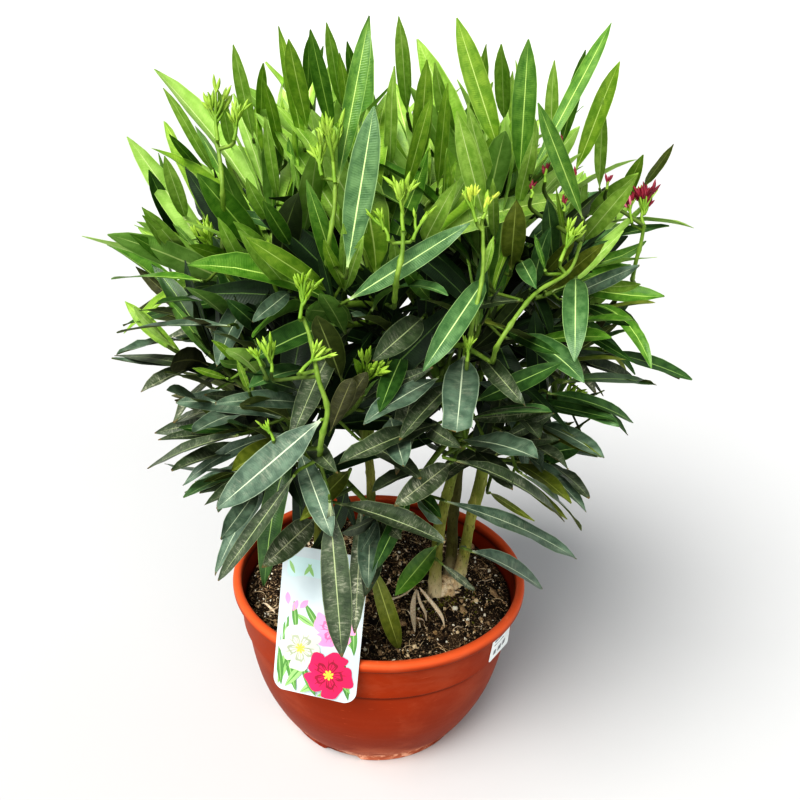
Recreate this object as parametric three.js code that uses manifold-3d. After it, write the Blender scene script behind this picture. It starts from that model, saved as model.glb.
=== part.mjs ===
// Potted oleander: a bushy evergreen shrub of five stems in a round bowl-shaped plastic pot.
// Millimetres, +Z up. The origin is on the ground under the centre of the pot, -Y is the front.
import * as THREE from "three";
import { mergeVertices } from "three/addons/utils/BufferGeometryUtils.js";
import Module from "manifold-3d";

const wasm = await Module();
wasm.setup();

// ---------------------------------------------------------------- driving dimensions
const GAP = 0.35; // clearance left wherever two solids touch

const RIM_R = 120; // outside of the rolled rim
const RIM_TOP = 134;
const RIM_ROLL = 7.5; // height of the roll
const STEP_Z = 97; // the small step that runs round the wall
const WALL = 2.6;
const FOOT_R = 78; // outside of the foot ring
const FOOT_H = 6;
const FOOT_W = 5;
const FLOOR = 3; // thickness of the pot's floor
const NOTCHES = 4; // gaps in the foot ring that let water out
const NOTCH_W = 27;
const NOTCH_TURN = -17.5; // degrees from the front
const POT_SEGMENTS = 32;

const SOIL_TOP = 115;

const TAG_W = 62, // hanging plant label
  TAG_L = 106,
  TAG_T = 0.9,
  TAG_CORNER = 8,
  TAG_BOW = 5; // how far its foot bulges forward between its corners
const LABEL_W = 30, // small blank sticker on the pot's wall
  LABEL_H = 20,
  LABEL_T = 0.5;

const HEIGHT = 565; // tallest leaf tips above the ground
const SPREAD = 220; // half the crown's width

// ---------------------------------------------------------------- small helpers
const V = (x, y, z) => new THREE.Vector3(x, y, z);
const UP = V(0, 0, 1);
const rad = THREE.MathUtils.degToRad;

function randomFrom(seed) {
  let s = seed >>> 0;
  return () => {
    s = (s + 0x6d2b79f5) >>> 0;
    let t = Math.imul(s ^ (s >>> 15), 1 | s);
    t = (t + Math.imul(t ^ (t >>> 7), 61 | t)) ^ t;
    return ((t ^ (t >>> 14)) >>> 0) / 4294967296;
  };
}

// Smooth three-dimensional waviness between about -1 and 1.
function waviness(seed, waves = 5) {
  const random = randomFrom(seed);
  const terms = Array.from({ length: waves }, (_, i) => ({
    k: V(random() - 0.5, random() - 0.5, random() - 0.5)
      .normalize()
      .multiplyScalar(1.6 + 0.75 * i),
    p: random() * Math.PI * 2,
    a: 1 / (1 + 0.35 * i),
  }));
  const total = terms.reduce((t, w) => t + w.a, 0) * 0.62;
  return (v) => terms.reduce((t, w) => t + w.a * Math.sin(w.k.dot(v) + w.p), 0) / total;
}

// A three.js geometry as a manifold-3d solid, and back.
function solid(geometry) {
  const g = geometry.index ? geometry.toNonIndexed() : geometry.clone();
  const bare = new THREE.BufferGeometry().setAttribute("position", g.getAttribute("position"));
  const merged = mergeVertices(bare, 1e-3);
  return new wasm.Manifold(
    new wasm.Mesh({
      numProp: 3,
      vertProperties: new Float32Array(merged.attributes.position.array),
      triVerts: new Uint32Array(merged.index.array),
    }),
  );
}

function geometryOf(body) {
  const m = body.getMesh();
  const position = new Float32Array(m.numVert * 3);
  for (let i = 0; i < m.numVert; i++)
    position.set(m.vertProperties.subarray(i * m.numProp, i * m.numProp + 3), i * 3);
  const g = new THREE.BufferGeometry()
    .setAttribute("position", new THREE.BufferAttribute(position, 3))
    .setIndex(new THREE.BufferAttribute(new Uint32Array(m.triVerts), 1));
  g.computeVertexNormals();
  return g;
}

// The largest single body of a solid, for a cut that leaves crumbs.
function largest(body) {
  return body.decompose().reduce((a, b) => (b.volume() > a.volume() ? b : a));
}

// Drops the slivers that a cut leaves, as long as the shape moves by less than a given amount.
function tidy(body, by) {
  return by ? largest(body.simplify(by)) : body;
}

// ---------------------------------------------------------------- materials
const material = (color, roughness, metalness = 0) =>
  new THREE.MeshStandardMaterial({ color, roughness, metalness });
const POT_PLASTIC = material(0xb8431c, 0.5);
const COMPOST = material(0x2a1b12, 0.95);
const BARK_OLD = material(0x8c7a55, 0.85);
const BARK_GREEN = material(0x6d7a35, 0.7);
const LEAF_YOUNG = material(0x5f8f2a, 0.5);
const LEAF_MID = material(0x3f6e33, 0.5);
const LEAF_OLD = material(0x35503c, 0.55);
const CARD = material(0xdfeeea, 0.4);
const STICKER = material(0xf2f4f2, 0.5);

const group = new THREE.Group();
const placed = []; // how each solid so far is made, at any size: later ones are cut by slightly larger copies

function overlaps(a, b) {
  const p = a.boundingBox(),
    q = b.boundingBox();
  return [0, 1, 2].every((i) => p.min[i] < q.max[i] && q.min[i] < p.max[i]);
}

// Adds a solid that gives way to everything placed before it. Smoothing drops the slivers that its cuts leave.
function add(name, make, mat, smoothing = 0) {
  let body = make(0);
  for (const other of placed) {
    if (!overlaps(body, other.bulk)) continue;
    body = body.subtract(other.make(GAP + 1.3 * smoothing));
  }
  body = tidy(largest(body), smoothing);
  placed.push({ make, bulk: make(GAP + 4) });
  const mesh = new THREE.Mesh(geometryOf(body), mat);
  mesh.name = name;
  group.add(mesh);
  return body;
}

// ---------------------------------------------------------------- pot and compost
// Outside of the wall, from the floor up to the underside of the rim, as [radius, height].
const OUTSIDE = [
  [74, FOOT_H],
  [85.5, 15],
  [94.5, 32],
  [101.5, 50],
  [106.4, 72],
  [109.6, STEP_Z - 1],
  [111.8, STEP_Z + 1],
  [115.2, RIM_TOP - RIM_ROLL],
];

function potProfile(grow) {
  const outer = OUTSIDE.map(([r, z]) => V2(r + grow, z));
  const roll = [
    V2(119 + grow, RIM_TOP - RIM_ROLL - grow * 0.5),
    V2(RIM_R + grow, RIM_TOP - 4),
    V2(118 + grow, RIM_TOP - 0.6 + grow * 0.4),
    V2(115.4, RIM_TOP + grow),
    V2(112.8 - grow, RIM_TOP - 1.6),
  ];
  const inner = OUTSIDE.slice(1, -1)
    .filter((_, i) => i !== 5)
    .reverse()
    .map(([r, z]) => V2(r - WALL - grow, z + 1.2));
  return [
    V2(0, FOOT_H - FLOOR - grow),
    V2(FOOT_R - FOOT_W - grow, FOOT_H - FLOOR - grow),
    V2(FOOT_R - FOOT_W - grow, -grow),
    V2(FOOT_R + grow, -grow),
    V2(FOOT_R + grow, FOOT_H),
    ...outer,
    ...roll,
    ...inner,
    V2(70, FOOT_H + 0.6 + grow),
    V2(0, FOOT_H + 0.6 + grow),
  ];
}
function V2(x, y) {
  return new THREE.Vector2(x, y);
}
// LatheGeometry turns about Y, so its result is stood up on Z.
function lathe(profile, segments) {
  const g = new THREE.LatheGeometry(profile, segments);
  g.rotateX(Math.PI / 2);
  return g;
}
function outward(geometry) {
  const s = solid(geometry);
  if (s.volume() > 0) return s;
  const g = geometry.index ? geometry.toNonIndexed() : geometry.clone();
  const p = g.attributes.position.array;
  for (let i = 0; i < p.length; i += 9)
    for (let k = 0; k < 3; k++) [p[i + 3 + k], p[i + 6 + k]] = [p[i + 6 + k], p[i + 3 + k]];
  return solid(g);
}

function pot(grow) {
  let body = outward(lathe(potProfile(grow), POT_SEGMENTS));
  if (grow) return body;
  for (let i = 0; i < NOTCHES; i++) {
    const notch = new THREE.BoxGeometry(NOTCH_W, 24, FOOT_H - FLOOR + 4);
    notch.translate(0, -(FOOT_R - 2), (FOOT_H - FLOOR + 4) / 2 - 4);
    notch.rotateZ(rad(NOTCH_TURN + (360 / NOTCHES) * i));
    body = body.subtract(solid(notch));
  }
  return tidy(body, 0.02);
}
add("pot", pot, POT_PLASTIC);

// The compost fills the bowl to just under the rim, and its top is level.
function compost(grow) {
  const side = [OUTSIDE[1], OUTSIDE[3], OUTSIDE[5]].map(([r, z]) => V2(r - WALL - GAP + grow, z + 1.2));
  return outward(
    lathe(
      [
        V2(0, FOOT_H + 0.6 + GAP - grow),
        V2(69, FOOT_H + 0.6 + GAP - grow),
        ...side,
        V2(109.4 - GAP + grow, SOIL_TOP + grow),
        V2(0, SOIL_TOP + grow),
      ],
      POT_SEGMENTS,
    ),
  );
}
add("compost", compost, COMPOST);

// ---------------------------------------------------------------- stems and boughs
// A tapering limb: a cylinder whose rings are carried along a smooth curve.
function limb(points, r0, r1, { flare = 0, sides = 8, steps = 8, knots = 0.06, seed = 1, flat = false } = {}) {
  return (grow) => {
    const curve = new THREE.CatmullRomCurve3(points.map((p) => V(...p)), false, "centripetal");
    const wave = waviness(seed, 4);
    const g = new THREE.CylinderGeometry(1, 1, 1, sides, steps);
    const p = g.attributes.position;
    for (let i = 0; i < p.count; i++) {
      const t = THREE.MathUtils.clamp(p.getY(i) + 0.5, 0, 1);
      const at = curve.getPointAt(t);
      const along = curve.getTangentAt(t);
      if (flat && t < 1e-6) along.copy(UP); // the foot is cut level
      const side = V(1, 0, 0).addScaledVector(along, -along.x).normalize();
      const other = V(0, 0, 0).crossVectors(along, side);
      const radius = THREE.MathUtils.lerp(r0, r1, t) + flare * Math.exp(-t * 9);
      const a = Math.atan2(p.getZ(i), p.getX(i));
      const rough = 1 + knots * wave(V(Math.cos(a), Math.sin(a), t * 4));
      const d = Math.hypot(p.getX(i), p.getZ(i)) < 1e-6 ? 0 : radius * rough + grow;
      const end = grow && t < 1e-6 && !flat ? -grow : grow && t > 1 - 1e-6 ? grow : 0;
      at.addScaledVector(side, Math.cos(a) * d)
        .addScaledVector(other, Math.sin(a) * d)
        .addScaledVector(along, end);
      p.setXYZ(i, at.x, at.y, at.z);
    }
    return outward(g);
  };
}

const FOOT_Z = SOIL_TOP + GAP;
const BOUGH_R = [3.8, 2.9]; // at its fork and at its tip
// Each stem: its way up from a level foot on the compost to its fork, its radii, how far it flares at the foot,
// and the masses of foliage whose boughs it forks into.
const STEMS = {
  a: { way: [[47, -13, FOOT_Z], [45, -15, 160], [49, -17, 208], [54, -20, 246]], r: [4.9, 4.2], flare: 2.4, old: true, carries: ["middle_2", "upper_1"] },
  b: { way: [[65.5, 1, FOOT_Z], [69, 2.5, 150], [75, 3, 200], [79, 2, 238]], r: [4.9, 4.2], flare: 1.6, old: true, carries: ["middle_3", "upper_2"] },
  c: { way: [[60, 17, FOOT_Z], [60, 22, 170], [61, 27, 226]], r: [4.9, 4.1], flare: 2.2, old: true, carries: ["middle_4", "upper_3", "top"] },
  d: { way: [[-8, 43, FOOT_Z], [-10, 45, 160], [-15, 48, 222]], r: [4.8, 4.0], flare: 2.0, old: false, carries: ["middle_5", "middle_6", "upper_4", "upper_5"] },
  e: { way: [[-46, -2, FOOT_Z], [-49, -6, 160], [-54, -12, 212]], r: [5.1, 4.2], flare: 2.4, old: false, carries: ["middle_1", "middle_7", "upper_6"] },
};

let seed = 11;
for (const [name, s] of Object.entries(STEMS))
  add(
    "stem_" + name,
    limb(s.way, s.r[0], s.r[1], { flare: s.flare, seed: seed++, flat: true, sides: 8, steps: 7 }),
    s.old ? BARK_OLD : BARK_GREEN,
  );

// The swollen, knobbly root crown that stands between the three right-hand stems.
function lump(centre, size, { detail = 2, rough = 0.16, seed = 1 } = {}) {
  return (grow) => {
    const wave = waviness(seed, 6);
    const g = new THREE.IcosahedronGeometry(1, detail);
    const p = g.attributes.position;
    for (let i = 0; i < p.count; i++) {
      const d = V(p.getX(i), p.getY(i), p.getZ(i)).normalize();
      const r = 1 + rough * wave(d.clone().multiplyScalar(2));
      p.setXYZ(i, centre[0] + d.x * (size[0] * r + grow), centre[1] + d.y * (size[1] * r + grow), centre[2] + d.z * (size[2] * r + grow));
    }
    return solid(g);
  };
}
const crown = lump([56.5, -6.5, FOOT_Z], [11, 9.5, 17], { seed: 5, detail: 1 });
add(
  "root_crown",
  (grow) => {
    const below = new THREE.BoxGeometry(80, 80, 60);
    below.translate(59, -6, FOOT_Z - 30 - grow);
    return crown(grow).subtract(solid(below));
  },
  BARK_OLD,
);

// ---------------------------------------------------------------- label and sticker
// The label leans on the rim at the front left, its foot outside the pot and its head leaning in over the compost.
function tag(grow) {
  const w = TAG_W / 2 + grow,
    l = TAG_L / 2 + grow,
    c = TAG_CORNER;
  // Its rows along the length, closer together round the corners, each with its own half-width.
  const corner = [0, 0.5, 1].map((t) => {
    const a = (t * Math.PI) / 2;
    return { y: l - c + c * Math.sin(a), x: w - c + c * Math.cos(a) };
  });
  const upper = [{ y: 0, x: w }, ...corner];
  const rows = [...upper.map((r) => ({ y: -r.y, x: r.x })).reverse().slice(0, -1), ...upper];
  const g = new THREE.BoxGeometry(2, 2, TAG_T + 2 * grow, 4, rows.length - 1, 1);
  const p = g.attributes.position;
  const m = new THREE.Matrix4()
    .makeTranslation(-38.3, -107.0, 157.4)
    .multiply(new THREE.Matrix4().makeRotationZ(rad(-14.2)))
    .multiply(new THREE.Matrix4().makeRotationX(rad(90 - 15)))
    .multiply(new THREE.Matrix4().makeRotationZ(rad(0.7)));
  for (let i = 0; i < p.count; i++) {
    const row = rows[Math.round(((p.getY(i) + 1) / 2) * (rows.length - 1))];
    const x = p.getX(i) * row.x;
    const down = THREE.MathUtils.clamp((l - row.y) / (2 * l), 0, 1);
    const bulge = TAG_BOW * down * (1 - (x / w) ** 2);
    const q = V(x, row.y, p.getZ(i) + bulge).applyMatrix4(m);
    p.setXYZ(i, q.x, q.y, q.z);
  }
  return outward(g);
}
add("label_tag", tag, CARD);

function sticker(grow) {
  const g = new THREE.BoxGeometry(LABEL_W + 2 * grow, LABEL_H + 2 * grow, LABEL_T + 2 * grow, 6, 1, 1);
  const p = g.attributes.position;
  const at = rad(-36.5);
  for (let i = 0; i < p.count; i++) {
    const z = 114.5 + p.getY(i);
    const wall = THREE.MathUtils.lerp(111.8, 115.2, (z - 98) / 28.5);
    const r = wall + GAP + 0.25 + LABEL_T / 2 + p.getZ(i);
    const a = at + p.getX(i) / 113.5;
    p.setXYZ(i, r * Math.cos(a), r * Math.sin(a), z);
  }
  return outward(g);
}
add("sticker", sticker, STICKER);

// ---------------------------------------------------------------- masses of foliage
// The body of a tuft of leaves: stretched along its own axis, broader towards its tips, lobed, and drooping when it leans far out.
function tuft({ at, lean, turn, long, wide, thick, droop = 0, detail = 2, rough = 0.16, fan = 0.34, seed }) {
  const axis = V(Math.sin(lean) * Math.cos(turn), Math.sin(lean) * Math.sin(turn), Math.cos(lean));
  const side = V(-Math.sin(turn), Math.cos(turn), 0);
  const face = V(0, 0, 0).crossVectors(axis, side);
  const wave = waviness(seed, 7);
  const lobes = 3 + (seed % 3);
  return (grow) => {
    const g = new THREE.IcosahedronGeometry(1, detail);
    const p = g.attributes.position;
    for (let i = 0; i < p.count; i++) {
      const d = V(p.getX(i), p.getY(i), p.getZ(i)).normalize();
      const round = Math.atan2(d.y, d.x);
      const tip = THREE.MathUtils.smoothstep(d.z, -0.7, 0.8);
      const belly = Math.sqrt(Math.max(0, 1 - d.z * d.z));
      const r = 1 + rough * wave(d.clone().multiplyScalar(1.9)) + 0.12 * tip * belly * Math.cos(lobes * round + seed);
      const out = 1 - 0.55 * fan + fan * tip;
      const q = V(...at)
        .addScaledVector(axis, d.z * long * r)
        .addScaledVector(side, d.x * wide * out * r)
        .addScaledVector(face, d.y * thick * out * r);
      q.z -= droop * long * Math.pow(Math.max(0, d.z + 0.2), 2);
      fit(q);
      q.addScaledVector(axis, d.z * grow).addScaledVector(side, d.x * grow).addScaledVector(face, d.y * grow);
      p.setXYZ(i, q.x, q.y, q.z);
    }
    return solid(g);
  };
}

// The crown's rings from its top to its skirt: how many tufts, how far out, how high, how far they lean,
// their half-length, half-width and half-thickness, and the bearing of the first of them.
const RINGS = [
  { name: "top", count: 1, out: 8, high: 455, lean: 3, long: 108, wide: 62, thick: 60, first: 200, mat: LEAF_YOUNG },
  { name: "upper", count: 6, out: 92, high: 436, lean: 17, long: 110, wide: 66, thick: 60, first: 262, mat: LEAF_YOUNG },
  { name: "middle", count: 7, out: 138, high: 326, lean: 60, long: 82, wide: 68, thick: 54, first: 238, mat: LEAF_MID, droop: 0.1 },
  { name: "skirt", count: 7, out: 122, high: 226, lean: 114, long: 70, wide: 54, thick: 34, first: 264, mat: LEAF_OLD, droop: 0.22 },
];
const masses = [];
let k = 40;
for (const ring of RINGS)
  for (let i = 0; i < ring.count; i++) {
    const random = randomFrom(900 + k);
    const vary = (by) => 1 + (random() - 0.5) * 2 * by;
    const turn = rad(ring.first + (360 / ring.count) * (i + (ring.count > 1 ? (random() - 0.5) * 0.3 : 0)));
    const out = ring.out * vary(0.08);
    masses.push({
      name: "foliage_" + ring.name + (ring.count > 1 ? "_" + (i + 1) : ""),
      mat: ring.mat,
      at: [out * Math.cos(turn), out * Math.sin(turn), ring.high + (random() - 0.5) * 26],
      lean: rad(ring.lean + (random() - 0.5) * 14),
      turn: turn + (random() - 0.5) * 0.3,
      long: ring.long * vary(0.08),
      wide: ring.wide * vary(0.1),
      thick: ring.thick * vary(0.1),
      droop: ring.droop || 0,
      detail: 2,
      seed: k++,
    });
  }

// The crown is full to the same reach on all four sides, and to its full height.
const reach = { lo: V(-1, -1, 0), hi: V(1, 1, 1) };
function fit(q) {
  q.x *= SPREAD / (q.x < 0 ? -reach.lo.x : reach.hi.x);
  q.y *= SPREAD / (q.y < 0 ? -reach.lo.y : reach.hi.y);
  if (q.z > 300) q.z = 300 + ((q.z - 300) * (HEIGHT - 300)) / (reach.hi.z - 300);
}
{
  reach.lo.set(-SPREAD, -SPREAD, 0);
  reach.hi.set(SPREAD, SPREAD, HEIGHT);
  const box = masses.map((m) => tuft(m)(0).boundingBox());
  reach.lo.fromArray([0, 1, 2].map((i) => Math.min(...box.map((b) => b.min[i]))));
  reach.hi.fromArray([0, 1, 2].map((i) => Math.max(...box.map((b) => b.max[i]))));
}
for (const m of masses) add(m.name, tuft(m), m.mat, 1.5);

// The boughs come last. Each leaves its stem's fork in the stem's own direction, bends over, and ends where it enters its mass.
for (const stem of Object.values(STEMS)) {
  const top = V(...stem.way[stem.way.length - 1]);
  const along = top.clone().sub(V(...stem.way[stem.way.length - 2])).normalize();
  for (const carried of stem.carries) {
    const m = masses.find((x) => x.name === "foliage_" + carried);
    const axis = V(Math.sin(m.lean) * Math.cos(m.turn), Math.sin(m.lean) * Math.sin(m.turn), Math.cos(m.lean));
    const foot = V(...m.at).addScaledVector(axis, -0.5 * m.long);
    fit(foot);
    const far = foot.distanceTo(top);
    const bend = top.clone().lerp(foot, 0.42).addScaledVector(along, 0.16 * far);
    add(
      "bough_" + carried,
      limb([top, top.clone().lerp(bend, 0.45).addScaledVector(along, 0.05 * far), bend, foot].map((p) => p.toArray()), ...BOUGH_R, {
        seed: seed++,
        sides: 6,
        steps: 6,
        knots: 0.05,
      }),
      BARK_GREEN,
    );
  }
}

export default group;
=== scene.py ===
"""Looks of the potted oleander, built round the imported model: pot, compost, bark, shoots, leaves, buds, label.
Metres, +Z up, the front is -Y."""
import math
import bpy
import numpy as np
from mathutils import Matrix, Vector


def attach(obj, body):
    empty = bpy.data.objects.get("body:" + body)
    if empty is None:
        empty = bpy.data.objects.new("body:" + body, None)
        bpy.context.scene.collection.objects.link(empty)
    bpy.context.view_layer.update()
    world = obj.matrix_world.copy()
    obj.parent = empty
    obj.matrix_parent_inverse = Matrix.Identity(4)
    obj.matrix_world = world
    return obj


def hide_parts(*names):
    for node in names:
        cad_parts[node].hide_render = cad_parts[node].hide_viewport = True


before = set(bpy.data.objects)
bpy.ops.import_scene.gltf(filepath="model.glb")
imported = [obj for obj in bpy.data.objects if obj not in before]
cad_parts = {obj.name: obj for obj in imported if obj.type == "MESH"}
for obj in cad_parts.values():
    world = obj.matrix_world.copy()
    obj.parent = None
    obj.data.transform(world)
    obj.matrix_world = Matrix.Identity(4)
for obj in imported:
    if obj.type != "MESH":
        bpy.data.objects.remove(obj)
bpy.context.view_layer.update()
REACH = 0.236  # leaf tips stay within this of the axis planes
TOP = 0.588
MM = 0.001
UPV = np.array([0.0, 0.0, 1.0])

scene = bpy.context.scene


def srgb(r, g, b):
    """Linear colour of an 8-bit display colour."""
    return tuple((c / 255 / 12.92) if c <= 10.3 else ((c / 255 + 0.055) / 1.055) ** 2.4 for c in (r, g, b)) + (1.0,)


def unit(v):
    v = np.asarray(v, float)
    return v / np.maximum(np.linalg.norm(v, axis=-1, keepdims=True), 1e-12)


def across_of(v, d):
    """The part of v square to the unit vector d, made unit."""
    v = np.asarray(v, float)
    d = np.asarray(d, float)
    return unit(v - np.sum(v * d, -1, keepdims=True) * d)


def smooth(a, b, x):
    t = np.clip((np.asarray(x, float) - a) / (b - a), 0, 1)
    return t * t * (3 - 2 * t)


class Waves:
    """Smooth repeatable waviness in space, between about -1 and 1."""

    def __init__(self, seed, n=9, low=1.0, high=4.0):
        r = np.random.default_rng(seed)
        k = unit(r.normal(size=(n, 3)))
        f = np.geomspace(low, high, n)
        self.k = k * f[:, None]
        self.p = r.uniform(0, 2 * math.pi, n)
        self.a = 1 / f
        self.a = self.a / (self.a.sum() * 0.55)

    def __call__(self, p):
        return np.sin(np.asarray(p, float) @ self.k.T + self.p) @ self.a


# ------------------------------------------------------------------ mesh pieces
class Heap:
    """Vertices, faces, materials and pattern places of one joined piece."""

    def __init__(self):
        self.v, self.f, self.m, self.uv, self.n, self.sharp = [], [], [], [], 0, []

    def add(self, verts, faces, mat=0, uv=None, sharp=None):
        """faces is an array of quads or triangles. uv has a place for each corner of each face."""
        verts = np.asarray(verts, float).reshape(-1, 3)
        faces = np.asarray(faces, int)
        self.f.append(faces + self.n)
        self.v.append(verts)
        self.m.append(np.broadcast_to(np.asarray(mat, int), (len(faces),)).copy())
        self.uv.append(np.zeros((faces.size, 2)) if uv is None else np.asarray(uv, float).reshape(-1, 2))
        self.sharp.append(np.zeros(len(verts), bool) if sharp is None else sharp)
        self.n += len(verts)

    def piece(self, name, materials, nodes=(), slot=None, smooth_faces=True, maps=()):
        v = np.concatenate(self.v)
        starts, loops, at = [], [], 0
        for f in self.f:
            starts.append(at + np.arange(len(f)) * f.shape[1])
            loops.append(f.ravel())
            at += f.size
        loops, starts = np.concatenate(loops), np.concatenate(starts)
        me = bpy.data.meshes.new(name)
        me.vertices.add(len(v))
        me.vertices.foreach_set("co", v.astype(np.float32).ravel())
        me.loops.add(len(loops))
        me.loops.foreach_set("vertex_index", loops.astype(np.int32))
        me.polygons.add(len(starts))
        me.polygons.foreach_set("loop_start", starts.astype(np.int32))
        me.polygons.foreach_set("material_index", np.concatenate(self.m).astype(np.int32))
        me.polygons.foreach_set("use_smooth", np.full(len(starts), smooth_faces))
        uv = np.concatenate(self.uv).astype(np.float32)
        for m in maps:
            me.uv_layers.new(name=m).uv.foreach_set("vector", uv.ravel())
        me.update(calc_edges=True)
        sharp = np.concatenate(self.sharp)
        if sharp.any():
            e = np.zeros(len(me.edges) * 2, np.int32)
            me.edges.foreach_get("vertices", e)
            e = e.reshape(-1, 2)
            flag = me.attributes.new("sharp_edge", "BOOLEAN", "EDGE")
            flag.data.foreach_set("value", sharp[e].all(1))
        for m in materials:
            me.materials.append(m)
        o = bpy.data.objects.new(name, me)
        scene.collection.objects.link(o)
        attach(o, "root")
        if nodes:
            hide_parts(*nodes)
        print(name, sum(len(f) * (f.shape[1] - 2) for f in self.f), "triangles")
        return o


def grid_faces(rows, cols, wrap=False):
    """Quads of a grid of vertices, counter-clockwise seen with columns to the right and rows upwards."""
    c = np.arange(cols if wrap else cols - 1)
    r = np.arange(rows - 1)[:, None]
    a = r * cols + c
    b = r * cols + (c + 1) % cols
    return np.stack([a, b, b + cols, a + cols], -1).reshape(-1, 4)


def carried(path):
    """Tangents and a pair of side vectors carried along a path without twist."""
    t = unit(np.gradient(path, axis=0))
    s = across_of([1.0, 0.02, 0.01] if abs(t[0][0]) < 0.9 else [0, 1, 0], t[0])
    sides = [s]
    for i in range(1, len(t)):
        s = across_of(sides[-1], t[i])
        sides.append(s)
    sides = np.array(sides)
    return t, sides, np.cross(t, sides)


def smooth_path(points, step):
    """Points every step along a rounded curve through the given ones."""
    p = np.asarray(points, float)
    if len(p) == 2:
        n = max(2, int(np.linalg.norm(p[1] - p[0]) / step) + 1)
        return p[0] + (p[1] - p[0]) * np.linspace(0, 1, n)[:, None]
    ends = np.vstack([2 * p[0] - p[1], p, 2 * p[-1] - p[-2]])
    out = []
    for i in range(1, len(ends) - 2):
        a, b, c, d = ends[i - 1 : i + 3]
        t = np.linspace(0, 1, 24, endpoint=False)[:, None]
        out.append(0.5 * (2 * b + (c - a) * t + (2 * a - 5 * b + 4 * c - d) * t**2 + (3 * b - a - 3 * c + d) * t**3))
    out = np.vstack(out + [p[-1:]])
    s = np.r_[0, np.cumsum(np.linalg.norm(np.diff(out, axis=0), axis=1))]
    n = max(3, int(s[-1] / step) + 1)
    at = np.linspace(0, s[-1], n)
    return np.stack([np.interp(at, s, out[:, k]) for k in range(3)], 1)


def tube(heap, path, radius, sides=10, mat=0, relief=None, cap=True, turn=0.0):
    """A limb: rings of vertices along a path, radius a number for each point. relief(angle, s, point) adds to the radius."""
    path = np.asarray(path, float)
    radius = np.broadcast_to(np.asarray(radius, float), (len(path),))
    t, a, b = carried(path)
    ang = turn + np.arange(sides) / sides * 2 * math.pi
    ring = np.cos(ang)[None, :, None] * a[:, None] + np.sin(ang)[None, :, None] * b[:, None]
    r = radius[:, None] * np.ones(sides)
    s = np.r_[0, np.cumsum(np.linalg.norm(np.diff(path, axis=0), axis=1))]
    if relief is not None:
        r = r + relief(np.broadcast_to(ang, r.shape), np.broadcast_to(s[:, None], r.shape), path[:, None] + ring * r[..., None])
    v = (path[:, None] + ring * r[..., None]).reshape(-1, 3)
    f = grid_faces(len(path), sides, True)
    u = np.broadcast_to(np.arange(sides) / sides, (len(path) - 1, sides))
    h = s[:-1, None] * np.ones(sides)
    h2 = s[1:, None] * np.ones(sides)
    uv = np.stack([np.stack([u, h], -1), np.stack([u + 1 / sides, h], -1), np.stack([u + 1 / sides, h2], -1), np.stack([u, h2], -1)], 2)
    heap.add(v, f, mat, uv.reshape(-1, 2))
    if cap:
        for row, tip, flip in ((0, path[0] - t[0] * radius[0] * 0.3, True), (len(path) - 1, path[-1] + t[-1] * radius[-1] * 0.6, False)):
            ring_v = v[row * sides : (row + 1) * sides]
            k = np.arange(sides)
            tri = np.stack([k, (k + 1) % sides, np.full(sides, sides)], 1)
            if flip:
                tri = tri[:, ::-1]
            heap.add(np.vstack([ring_v, tip]), tri, mat)


def lathe(heap, profile, segments, mat=0, closed=False, shape=None):
    """Turns a profile of (radius, height) round +Z. Points run so that the outside is on the right going up."""
    p = np.asarray(profile, float)
    a = np.arange(segments) / segments * 2 * math.pi
    v = np.stack([p[:, :1] * np.cos(a), p[:, :1] * np.sin(a), np.broadcast_to(p[:, 1:], (len(p), segments))], -1)
    if shape is not None:
        v = shape(v)
    v = v.reshape(-1, 3)
    f = grid_faces(len(p), segments, True)
    if closed:
        k = np.arange(segments)
        last = (len(p) - 1) * segments
        f = np.vstack([f, np.stack([last + k, last + (k + 1) % segments, (k + 1) % segments, k], 1)])
    heap.add(v, f, mat)


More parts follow.
